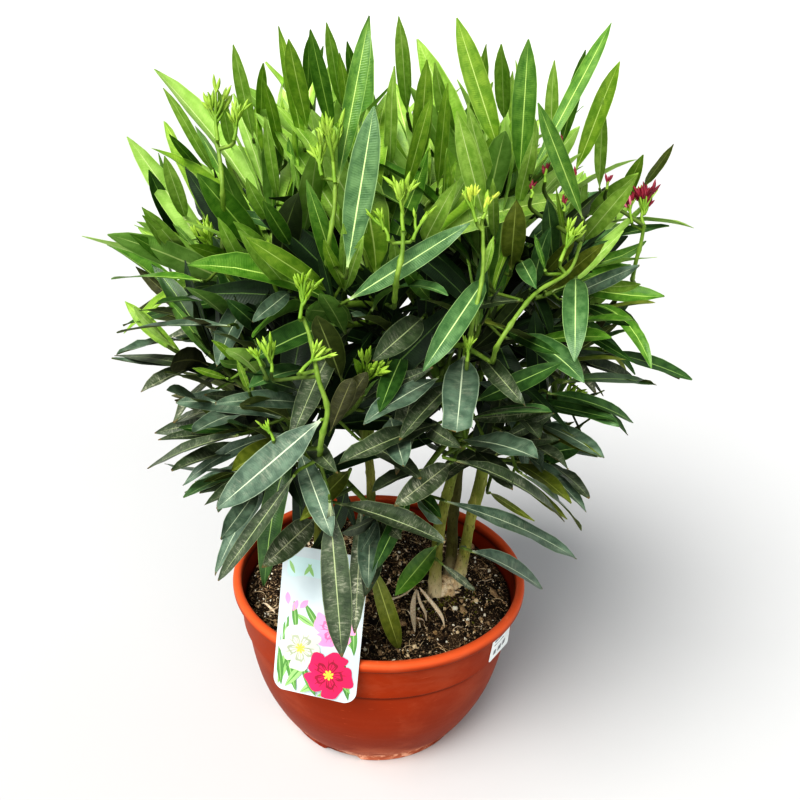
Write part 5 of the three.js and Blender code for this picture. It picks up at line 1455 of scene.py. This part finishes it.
def add_bud(heap, p, d, length, width, mat, r, sides=8, twist=1.2):
    t, w = bud_shape()
    d = unit(d)
    a = across_of([0.3, 1, 0.2], d)
    b = np.cross(d, a)
    bow = across_of(r.normal(size=3), d) * length * r.uniform(0, 0.16)
    ang = np.arange(sides) / sides * 2 * math.pi
    A = ang[None] + twist * t[:, None]
    lobes = 1 + 0.13 * np.cos(5 * ang)[None] * np.sin(t * math.pi)[:, None]
    rr = 0.5 * width * w[:, None] * lobes
    v = p + d * (t * length)[:, None, None] + bow * (t**2)[:, None, None] + (np.cos(A) * rr)[..., None] * a + (np.sin(A) * rr)[..., None] * b
    heap.add(v.reshape(-1, 3), grid_faces(len(t), sides, True), mat)
    # narrow sepals held to the bud's foot
    for k in range(3):
        sa = r.uniform(0, 6.28) + k * 2.1
        o = math.cos(sa) * a + math.sin(sa) * b
        s0, L = 0.5 * width, length * 0.42
        pts = np.array([p + o * s0 * 0.4, p + o * s0 * 1.0 + d * L * 0.45, p + o * s0 * 1.22 + d * L])
        side = np.cross(d, o)
        wd = np.array([0.30, 0.26, 0.03]) * width
        L_, M_, R_ = pts - side * wd[:, None], pts + o * 0.12 * width, pts + side * wd[:, None]
        vv = np.stack([L_, M_, R_, pts - o * 0.06 * width], 1)
        heap.add(vv.reshape(-1, 3), grid_faces(3, 4, True), mat)


def flower_head(heap, sprigs, p, d, size, r, mats, spread=0.55, count=5):
    """A small forked head of buds on fresh stalks."""
    d = unit(d)
    L = 0.020 * size
    axis = smooth_path([p, p + d * L * 0.5 + r.normal(0, 0.0006, 3), p + d * L], 0.003)
    tube(sprigs, axis, np.linspace(0.0011, 0.0008, len(axis)) * (0.8 + 0.3 * size), 7, 0)
    spin = r.uniform(0, 6.28)
    tips = [(axis[-1], d, 1.0)]
    for k in range(count):
        at = axis[-1] - d * L * r.uniform(0.0, 0.55)
        dd = tilt(d, spread * r.uniform(0.7, 1.3), spin + k * 2.4)
        l2 = L * r.uniform(0.35, 0.8)
        arm = smooth_path([at, at + dd * l2 * 0.5 + d * l2 * 0.05, at + unit(dd + 0.3 * d) * l2], 0.003)
        tube(sprigs, arm, np.linspace(0.0009, 0.0007, len(arm)), 6, 0, cap=False)
        tips.append((arm[-1], unit(dd + 0.5 * d), 0.85))
    for tip, dd, s in tips:
        m = int(r.choice(mats))
        n = r.integers(2, 5)
        for j in range(n):
            bd = tilt(dd, r.uniform(0.05, 0.5), r.uniform(0, 6.28))
            bl = r.uniform(0.0085, 0.0150) * size**0.6 * s
            add_bud(heap, tip - dd * 0.0008, bd, bl, bl * r.uniform(0.19, 0.26), m, r)


# heads of buds: place (mm), direction, size, colour, how many arms
HEADS = [
    ((-97, -98, 476), (-0.13, 0.39, 0.91), 0.83, "green", 6),
    ((-87, -103, 477), (0.12, 0.39, 0.91), 0.55, "green", 4),
    ((-28, -140, 462), (-0.12, 0.39, 0.91), 0.89, "green", 7),
    ((-35, -138, 465), (-0.18, 0.38, 0.91), 0.52, "green", 4),
    ((8, -160, 443), (-0.05, 0.39, 0.92), 0.76, "green", 7),
    ((1, -162, 438), (-0.43, 0.35, 0.83), 0.43, "green", 3),
    ((13, -161, 439), (0.41, 0.36, 0.84), 0.45, "green", 3),
    ((-42, -173, 399), (0.12, 0.39, 0.91), 0.61, "green", 6),
    ((-56, -177, 371), (-0.20, 0.38, 0.90), 0.45, "green", 6),
    ((-41, -181, 373), (0.67, 0.29, 0.68), 0.53, "green", 4),
    ((-62, -173, 372), (-0.49, 0.34, 0.80), 0.31, "green", 3),
    ((-55, -181, 334), (-0.49, 0.34, 0.80), 0.31, "green", 3),
    ((44, -169, 379), (0.00, 0.39, 0.92), 0.35, "green", 4),
    ((92, -137, 426), (0.36, 0.36, 0.86), 0.70, "green", 3),
    ((45, -148, 447), (-0.29, 0.37, 0.88), 0.49, "yellow", 7),
    ((48, -146, 448), (0.30, 0.37, 0.88), 0.40, "yellow", 3),
    ((162, -39, 430), (-0.02, 0.39, 0.92), 0.73, "red", 9),
    ((155, -35, 431), (-0.22, 0.38, 0.90), 0.48, "red", 4),
    ((84, -109, 463), (-0.05, 0.39, 0.92), 0.25, "bits", 1),
    ((76, -118, 456), (-0.05, 0.39, 0.92), 0.22, "bits", 1),
    ((96, -110, 448), (-0.05, 0.39, 0.92), 0.22, "bits", 1),
    ((104, -92, 461), (-0.05, 0.39, 0.92), 0.23, "bits", 1),
    ((132, -51, 453), (0.04, 0.39, 0.92), 0.25, "bits", 1),
    ((94, -86, 477), (0.12, 0.39, 0.91), 0.23, "bits", 1),
]


def make_buds():
    buds, sprigs = Heap(), Heap()
    for i, (p, d, size, colour, count) in enumerate(HEADS):
        r = np.random.default_rng(300 + i)
        mats = {"green": [0], "yellow": [1, 1, 0], "red": [2, 2, 3], "bits": [2]}[colour]
        flower_head(buds, sprigs, np.array(p) * MM, np.array(d), size, r, mats, count=count, spread=0.6 if colour == "green" else 0.42)
    # the rest of the crown: every few shoots ends in a small green head
    r = np.random.default_rng(9)
    front = np.array([np.array(h[0]) * MM for h in HEADS]) if HEADS else np.zeros((1, 3)) + 9
    for p, d, colour, chance in clusters:
        if chance < 0.30 and p[2] > 0.30 and np.linalg.norm(front - p, axis=1).min() > 0.03:
            flower_head(buds, sprigs, p, unit(d + UPV * 0.2), r.uniform(0.7, 1.0), r, [0], count=int(r.integers(3, 6)))
    skins = [
        sprig_skin("bud_green", srgb(126, 160, 40), srgb(166, 194, 84), srgb(96, 130, 26), 0.45),
        sprig_skin("bud_yellow", srgb(168, 190, 56), srgb(206, 214, 104), srgb(128, 160, 38), 0.45),
        sprig_skin("bud_red", srgb(104, 22, 38), srgb(146, 42, 62), srgb(76, 18, 28), 0.45),
        sprig_skin("bud_pink", srgb(206, 112, 140), srgb(230, 158, 176), srgb(176, 70, 104), 0.4),
    ]
    buds.piece("flower_buds", skins, slot="leaf")
    sprigs.piece("bud_stalks", [sprig_skin("bud_stalk", srgb(106, 142, 36), srgb(138, 168, 62), srgb(86, 118, 30))], slot="green_bark")


def make_twigs():
    heap = Heap()
    for i, (path, rad, kind) in enumerate(twigs):
        path = np.asarray(path)
        rad = np.interp(np.linspace(0, 1, len(path)), np.linspace(0, 1, len(rad)), rad)
        tube(heap, path, rad, 8, 1 if kind == "bough" else 0, cap=True)
    skins = [sprig_skin("green_shoot", srgb(100, 130, 42), srgb(134, 160, 68), srgb(80, 104, 34)), sprig_skin("green_bough", srgb(70, 92, 32), srgb(100, 122, 46), srgb(70, 66, 36), 0.6)]
    heap.piece("shoots_and_twigs", skins, slot="green_bark")


# ------------------------------------------------------------------ label and sticker
TAG_W, TAG_L, TAG_CORNER, TAG_BOW = 62.0, 106.0, 8.0, 5.0
TAG_AT = Matrix.Translation((-38.3, -107.0, 157.4)) @ Matrix.Rotation(math.radians(-14.2), 4, "Z") @ Matrix.Rotation(math.radians(75), 4, "X") @ Matrix.Rotation(math.radians(0.7), 4, "Z")
TAG_M = np.array(TAG_AT)


def on_tag(x, y, lift):
    """A point of the label's face, from its place across and up the card, in millimetres."""
    x, y = np.asarray(x, float), np.asarray(y, float)
    down = np.clip((TAG_L / 2 - y) / TAG_L, 0, 1)
    z = TAG_BOW * down * (1 - (x / (TAG_W / 2)) ** 2) + lift
    p = np.stack([x, y, z, np.ones_like(x)], -1) @ TAG_M.T
    return p[..., :3] * MM


def card_skin(name, a, b, rough=0.34):
    m = Nodes(name, spec=0.5)
    p = m.place()
    broad = m.noise(p, 24.0, 3, 0.5)
    fine = m.noise(p, 1500.0, 2, 0.5)
    return m.done(m.mix(m.step(broad, 0.35, 0.65), a, b), m.add(m.mul(fine, 0.06), rough), m.bump(fine, 0.10, 0.0002), Coat_Weight=0.25, Coat_Roughness=0.12)


def outline_card(w, l, c, n=10):
    pts = []
    for sx, sy, a0 in ((1, 1, 0), (-1, 1, 90), (-1, -1, 180), (1, -1, 270)):
        for t in np.linspace(0, 90, n):
            a = math.radians(a0 + t)
            pts.append((sx * (w / 2 - c) + c * math.cos(a), sy * (l / 2 - c) + c * math.sin(a)))
    return np.array(pts)


def patch(heap, pts, lift, mat, rings=4, thick=0.12, centre=None):
    """A thin printed shape on the card: rings of its own outline drawn in to a centre, so that it follows the card's bow."""
    pts = np.asarray(pts, float)
    c = pts.mean(0) if centre is None else np.asarray(centre, float)
    n = len(pts)
    k = np.linspace(1, 0, rings + 1)[:-1]
    lay = np.concatenate([c + (pts - c) * f for f in k] + [c[None]])
    top = on_tag(lay[:, 0], lay[:, 1], lift)
    low = on_tag(pts[:, 0], pts[:, 1], lift - thick)
    v = np.vstack([top, low])
    f = []
    for i in range(rings - 1):
        f.append(grid_faces(2, n, True) + i * n)
    q = np.vstack(f) if f else np.zeros((0, 4), int)
    j = np.arange(n)
    # outline runs counter-clockwise, so rings drawn inwards face the front
    heap.add(v, q[:, [0, 1, 2, 3]], mat)
    tri = np.stack([(rings - 1) * n + j, (rings - 1) * n + (j + 1) % n, np.full(n, rings * n)], 1)
    heap.add(v, tri, mat)
    skirt = np.stack([rings * n + 1 + j, rings * n + 1 + (j + 1) % n, (j + 1) % n, j], 1)
    heap.add(v, skirt, mat)


def make_tag():
    heap = Heap()
    # the card itself, front, edge and back
    nx, ny = 29, 49
    out = outline_card(TAG_W, TAG_L, TAG_CORNER, 12)
    n = len(out)
    rings = 12
    k = np.linspace(1, 0, rings + 1)[:-1]
    front = np.concatenate([out * f for f in k] + [np.zeros((1, 2))])
    f3, b3 = on_tag(front[:, 0], front[:, 1], 0.28), on_tag(front[:, 0], front[:, 1], -0.28)
    edge = on_tag(out[:, 0] * 1.002, out[:, 1] * 1.002, 0.0)
    v = np.vstack([f3, b3, edge])
    m = len(front)
    q = np.vstack([grid_faces(2, n, True) + i * n for i in range(rings - 1)])
    j = np.arange(n)
    heap.add(v, q, 0)
    heap.add(v, np.stack([(rings - 1) * n + j, (rings - 1) * n + (j + 1) % n, np.full(n, rings * n)], 1), 0)
    heap.add(v, q[:, ::-1] + m, 1)
    heap.add(v, np.stack([(rings - 1) * n + j, (rings - 1) * n + (j + 1) % n, np.full(n, rings * n)], 1)[:, ::-1] + m, 1)
    e = 2 * m
    heap.add(v, np.stack([e + j, e + (j + 1) % n, (j + 1) % n, j], 1), 1)
    heap.add(v, np.stack([m + j, m + (j + 1) % n, e + (j + 1) % n, e + j], 1), 1)
    print_on(heap)
    skins = [
        card_skin("label_card", srgb(180, 192, 195), srgb(197, 207, 209)),
        card_skin("label_edge", srgb(236, 240, 238), srgb(246, 248, 247)),
        card_skin("print_magenta", srgb(196, 24, 84), srgb(216, 44, 104)),
        card_skin("print_magenta_dark", srgb(140, 10, 50), srgb(160, 18, 66)),
        card_skin("print_pink", srgb(218, 134, 176), srgb(230, 160, 196)),
        card_skin("print_pink_dark", srgb(200, 92, 140), srgb(212, 116, 158)),
        card_skin("print_white", srgb(186, 188, 176), srgb(206, 206, 196)),
        card_skin("print_shade", srgb(146, 154, 130), srgb(168, 174, 152)),
        card_skin("print_leaf", srgb(70, 120, 56), srgb(100, 148, 76)),
        card_skin("print_leaf_pale", srgb(126, 170, 98), srgb(152, 190, 124)),
        card_skin("print_yellow", srgb(236, 196, 70), srgb(246, 214, 104)),
        card_skin("print_wash", srgb(176, 202, 202), srgb(190, 214, 212)),
    ]
    heap.piece("plant_label", skins, ["label_tag"], "card")


def petal(c, ang, length, width, lean=0.0, n=13):
    """A rounded petal's outline from the flower's middle outwards, counter-clockwise."""
    t = np.linspace(0, math.pi * 2, 2 * n, endpoint=False)
    y = 0.5 - 0.5 * np.cos(t)
    x = np.sin(t) * (0.22 + 0.78 * y) * 0.62
    x = x + lean * y * y * 0.35
    wobble = 1 + 0.05 * np.sin(5 * t + ang * 7)
    px, py = x * width * wobble, y * length * wobble
    ca, sa = math.cos(ang - math.pi / 2), math.sin(ang - math.pi / 2)
    q = np.stack([c[0] + px * ca - py * sa, c[1] + px * sa + py * ca], 1)
    area = np.sum(q[:, 0] * np.roll(q[:, 1], -1) - np.roll(q[:, 0], -1) * q[:, 1])
    return q if area > 0 else q[::-1]


def inside_card(pts):
    w, l = TAG_W / 2 - 2.0, TAG_L / 2 - 2.0
    pts = np.array(pts)
    pts[:, 0] = np.clip(pts[:, 0], -w, w)
    pts[:, 1] = np.clip(pts[:, 1], -l, l)
    return pts


def bloom(heap, c, size, turn, main, dark, eye, lift, petals=5):
    """An open flower: five broad overlapping petals, each with a shaded middle and fine lines to its throat."""
    for k in range(petals):
        a = turn + k * 2 * math.pi / petals
        step_up = lift + 0.03 * k
        patch(heap, inside_card(petal(c, a, size, size * 1.06, 0.5)), step_up, main, 4, 0.05)
        patch(heap, inside_card(petal(c, a - 0.05, size * 0.60, size * 0.46, 0.4)), step_up + 0.012, dark, 3, 0.01)
        patch(heap, inside_card(petal(c, a - 0.02, size * 0.50, size * 0.30, 0.4)), step_up + 0.020, main, 3, 0.01)
        for off, reach in ((-0.30, 0.62), (0.0, 0.74), (0.30, 0.66)):
            patch(heap, inside_card(petal(c, a + off, size * reach, size * 0.045, 0.2)), step_up + 0.026, dark, 2, 0.01)
    for k in range(7):
        a = turn + 0.3 + k * 2 * math.pi / 7
        patch(heap, petal(c, a, size * 0.22, size * 0.11), lift + 0.30, eye, 2, 0.03)


def leaf_print(heap, c, ang, length, width, mat, lift):
    t = np.linspace(0, 2 * math.pi, 24, endpoint=False)
    y = 0.5 - 0.5 * np.cos(t)
    x = np.sin(t) * np.sqrt(np.maximum(0, 1 - (2 * y - 1) ** 2) + 0.02) * 0.5
    px, py = x * width, y * length
    ca, sa = math.cos(ang - math.pi / 2), math.sin(ang - math.pi / 2)
    q = np.stack([c[0] + px * ca - py * sa, c[1] + px * sa + py * ca], 1)
    area = np.sum(q[:, 0] * np.roll(q[:, 1], -1) - np.roll(q[:, 0], -1) * q[:, 1])
    patch(heap, inside_card(q if area > 0 else q[::-1]), lift, mat, 3, 0.04)


def print_on(heap):
    """A plain garden design: three open blooms one above another at the card's right, a spray of leaves at the left, a pale band at its head."""
    band = outline_card(TAG_W - 8, 15, 4, 6) + np.array([0, 38.0])
    patch(heap, band, 0.36, 11, 4, 0.05)
    for k in range(7):
        x = -21 + 7 * k
        leaf_print(heap, (x, 33), math.radians(62 if k % 2 else 118), 10, 2.6, 9, 0.42)
    sprays = [(-27, -50, 76, 34, 6.5), (-24, -50, 100, 30, 6), (-21, -50, 56, 30, 6), (-12, -51, 112, 30, 6), (-9, -51, 40, 26, 6), (3, -51, 122, 24, 5.6), (4, -51, 30, 24, 5.6), (26, -51, 104, 34, 6), (27, -46, 128, 26, 5.4), (-27, -22, 80, 24, 5), (-25, -20, 58, 20, 4.6), (27, -18, 96, 26, 5), (26, -14, 122, 22, 4.6), (2, -4, 128, 22, 5), (6, 2, 84, 21, 4.8), (20, 6, 60, 17, 4.4), (-2, -2, 158, 18, 4.4), (-16, -8, 100, 22, 4.6)]
    for k, (x, y, a, L, w) in enumerate(sprays):
        leaf_print(heap, (x, y), math.radians(a), L, w, 8 if k % 2 else 9, 0.34 + 0.02 * (k % 3))
        leaf_print(heap, (x + 0.06 * L * math.cos(math.radians(a)), y + 0.06 * L * math.sin(math.radians(a))), math.radians(a), L * 0.86, w * 0.16, 9 if k % 2 else 8, 0.40 + 0.02 * (k % 3))
    bloom(heap, (11.5, -1), 15.0, 0.5, 4, 5, 10, 0.46)
    bloom(heap, (-11.5, -19), 16.5, 1.1, 6, 7, 10, 0.66)
    bloom(heap, (11.0, -34), 17.0, 0.1, 2, 3, 10, 0.86)
    # two small buds on the left
    for x, y, a in ((-20, 6, 70), (-24, 10, 98), (-15, 9, 50)):
        leaf_print(heap, (x, y), math.radians(a), 9, 4.2, 4, 0.42)


def make_sticker():
    heap = Heap()
    w, l, c = 31.0, 25.0, 2.2
    out = outline_card(w, l, c, 9)
    n = len(out)
    at = math.radians(-39.5) + 15.5 / 114.5

    def on_pot(x, y, lift):
        z = 111.6 + y
        wall = 112.7 + (115.1 - 112.7) * np.clip((z - 101) / 23.6, -0.1, 1)
        a = at + x / 114.5
        p = np.stack([wall * np.cos(a), wall * np.sin(a), z], -1)
        k = wall_wander(p)
        # its lower right corner has come away a little
        curl = 1.4 * smooth(7, 16, x) * smooth(-3, -12, y)
        r = wall * k + 0.30 + lift + curl
        return np.stack([r * np.cos(a), r * np.sin(a), z], -1) * MM

    def sheet(pts, lift, thick, mat, rings):
        k = np.linspace(1, 0, rings + 1)[:-1]
        mid = pts.mean(0)
        lay = np.concatenate([mid + (pts - mid) * f for f in k] + [mid[None]])
        f3, b3 = on_pot(lay[:, 0], lay[:, 1], lift + thick), on_pot(lay[:, 0], lay[:, 1], lift)
        v, m, n = np.vstack([f3, b3]), len(lay), len(pts)
        q = np.vstack([grid_faces(2, n, True) + i * n for i in range(rings - 1)]) if rings > 1 else np.zeros((0, 4), int)
        j = np.arange(n)
        tri = np.stack([(rings - 1) * n + j, (rings - 1) * n + (j + 1) % n, np.full(n, rings * n)], 1)
        for f, shift in ((q, 0), (tri, 0), (q[:, ::-1] + m, 0), (tri[:, ::-1] + m, 0), (np.stack([m + j, m + (j + 1) % n, (j + 1) % n, j], 1), 0)):
            if len(f):
                heap.add(v, f, mat)

    sheet(out, 0.0, 0.30, 0, 10)
    # plain grey bars in place of print
    for y, h, x0, x1 in ((6.5, 2.2, -12, 9), (2.6, 1.2, -12, 3), (-5.0, 4.6, -11, -7.5), (-5.0, 4.6, -4.5, 1.0), (-5.0, 4.6, 3.5, 8.5)):
        bar = outline_card(x1 - x0, h, 0.5, 4) + np.array([(x0 + x1) / 2, y])
        sheet(bar, 0.31, 0.05, 1, 3)
    skins = [card_skin("sticker_paper", srgb(228, 234, 232), srgb(246, 248, 247), 0.42), card_skin("sticker_bar", srgb(112, 116, 118), srgb(138, 142, 144), 0.5)]
    heap.piece("blank_sticker", skins, ["sticker"], "sticker")


# ------------------------------------------------------------------ put it together
def masses():
    return [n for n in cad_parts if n.startswith("foliage_")]


def make_foliage(skeleton):
    grow()
    grown = len(leaves.rows)
    extra = front_leaves()
    q = leaves.table()
    r = np.random.default_rng(1)
    which = r.integers(0, 2, len(q["L"]))
    # leaves deep inside the crown get the darkest kind: painted shade, standing in for the shadow there
    centre = q["p"] + q["d"] * (q["L"] * 0.5)[:, None]
    depth = envelope(centre * [1, 1, 0.8]) + 0.9 * np.maximum(0, centre[:, 2] - 0.43) / 0.1 + r.normal(0, 0.05, len(q["L"]))
    tip = q["p"] + q["d"] * q["L"][:, None]
    shaded = (depth < 0.66) & (envelope(tip) < 0.84) & (tip[:, 2] < 0.465) & (np.arange(len(depth)) < grown)
    q["kind"] = np.where(shaded, "inner", q["kind"])
    q["top"] = np.array([KIND[k] for k in q["kind"]])
    q["low"] = np.array([KIND[UNDER_OF[k]] for k in q["kind"]])
    q["cell_top"] = np.array([CELLS[k][w] for k, w in zip(q["kind"], which)])
    q["cell_low"] = np.array([CELLS[UNDER_OF[k]][w] for k, w in zip(q["kind"], which)])
    fixed = np.zeros(len(q["L"]), bool)
    fixed[grown:] = True
    key = fixed.copy()
    key[grown:] = KEYS
    q, kept, fixed = settle(q, fixed, key)
    join_up(q, fixed, skeleton + [(p, rr) for p, rr, _ in twigs])
    young = np.isin(q["kind"], ["fresh", "bright"])
    old = np.isin(q["kind"], ["old", "grey", "dusty"])
    p, *_ = leaf_rows(q)
    left = p[:, len(ROW) // 2, 0] < 0
    skins = leaf_skins()
    names = masses()
    upper = [n for n in names if "top" in n or "upper" in n]
    middle = [n for n in names if "middle" in n]
    skirt = [n for n in names if "skirt" in n]
    groups = {
        "leaves_young_left": (young & left, upper[::2]),
        "leaves_young_right": (young & ~left, upper[1::2]),
        "leaves_middle_left": (~young & ~old & left, middle[::2]),
        "leaves_middle_right": (~young & ~old & ~left, middle[1::2]),
        "leaves_old_left": (old & left, skirt[::2]),
        "leaves_old_right": (old & ~left, skirt[1::2]),
    }
    for name, (sel, nodes) in groups.items():
        heap = Heap()
        if (sel & fixed).any():
            leaf_mesh(heap, pick(q, sel & fixed))
        leaf_mesh(heap, pick(q, sel & ~fixed), PLAIN)
        heap.piece(name, skins, nodes, "leaf", maps=("leaf", "OFBake"))
    print("leaves", len(q["L"]), "front", int(fixed.sum()), "of", extra, "grown", grown)


def make_stage():
    m = Nodes("studio_floor", rough=0.9, spec=0.1)
    n = m.noise(m.place(), 3.0, 2)
    floor_mat = m.done(m.mix(n, (0.56, 0.56, 0.56, 1), (0.58, 0.58, 0.58, 1)))
    heap_v = []
    # floor that runs up into a far backdrop all round
    r = np.r_[np.linspace(0.0, 7.0, 9), 7.0 + np.linspace(0.5, 9, 12)]
    z = np.r_[np.zeros(9), 0.030 * np.linspace(0.5, 9, 12) ** 2]
    a = np.arange(64) / 64 * 2 * math.pi
    v = np.stack([r[:, None] * np.cos(a), r[:, None] * np.sin(a), np.broadcast_to(z[:, None], (len(r), 64))], -1).reshape(-1, 3)
    f = grid_faces(len(r), 64, True)[:, ::-1]
    me = bpy.data.meshes.new("studio_floor")
    me.from_pydata(v.tolist(), [], f.tolist())
    me.polygons.foreach_set("use_smooth", [True] * len(me.polygons))
    me.materials.append(floor_mat)
    me.validate()
    o = bpy.data.objects.new("studio_floor", me)
    o.location = (0, 0, -0.0003)
    scene.collection.objects.link(o)
    w = bpy.data.worlds.new("studio")
    w.use_nodes = True
    t = w.node_tree
    bg = t.nodes["Background"]
    bg.inputs[0].default_value = (0.92, 0.96, 1.0, 1)
    bg.inputs[1].default_value = WORLD
    seen = t.nodes.new("ShaderNodeBackground")
    seen.inputs[0].default_value = (1, 1, 1, 1)
    seen.inputs[1].default_value = 0.95
    ray, mix = t.nodes.new("ShaderNodeLightPath"), t.nodes.new("ShaderNodeMixShader")
    t.links.new(ray.outputs["Is Camera Ray"], mix.inputs[0])
    t.links.new(bg.outputs[0], mix.inputs[1])
    t.links.new(seen.outputs[0], mix.inputs[2])
    t.links.new(mix.outputs[0], t.nodes["World Output"].inputs[0])
    scene.world = w
    for name, kind, at, power, size, colour in LIGHTS:
        l = bpy.data.lights.new(name, kind)
        l.energy, l.color = power, colour
        if kind == "SUN":
            l.angle = math.radians(size)
        else:
            l.shape, l.size = "SQUARE", size
        o = bpy.data.objects.new(name, l)
        o.location = at
        o.rotation_euler = (Vector((0, 0, 0.3)) - Vector(at)).to_track_quat("-Z", "Y").to_euler()
        scene.collection.objects.link(o)


WORLD = 0.28
LIGHTS = [
    ("sky_sun", "SUN", (-0.85, -1.15, 2.0), 3.5, 40, (1.0, 0.99, 0.965)),
    ("front_fill", "SUN", (0.30, -1.6, 1.0), 1.15, 60, (1.0, 1.0, 1.0)),
]


def make_camera():
    th, roll = 0.39983, 0.04641
    fwd = Vector((0, math.cos(th), -math.sin(th)))
    up = Vector((0, math.sin(th), math.cos(th)))
    right = Vector((1, 0, 0))
    x = right * math.cos(roll) + up * math.sin(roll)
    y = -right * math.sin(roll) + up * math.cos(roll)
    m = Matrix((x, y, -fwd)).transposed().to_4x4()
    m.translation = Vector(CAMERA)
    c = bpy.data.cameras.new("camera")
    c.lens, c.sensor_width, c.sensor_fit = 36, 36, "HORIZONTAL"
    c.clip_start = 0.01
    c.dof.use_dof = False
    o = bpy.data.objects.new("camera", c)
    o.matrix_world = m
    scene.collection.objects.link(o)
    scene.camera = o


make_pot()
make_compost()
skeleton = make_stems()
make_foliage(skeleton)
make_twigs()
make_buds()
make_tag()
make_sticker()
make_stage()
make_camera()
scene.view_settings.view_transform = "Standard"
scene.view_settings.look = "High Contrast"
scene.view_settings.exposure = 0.0
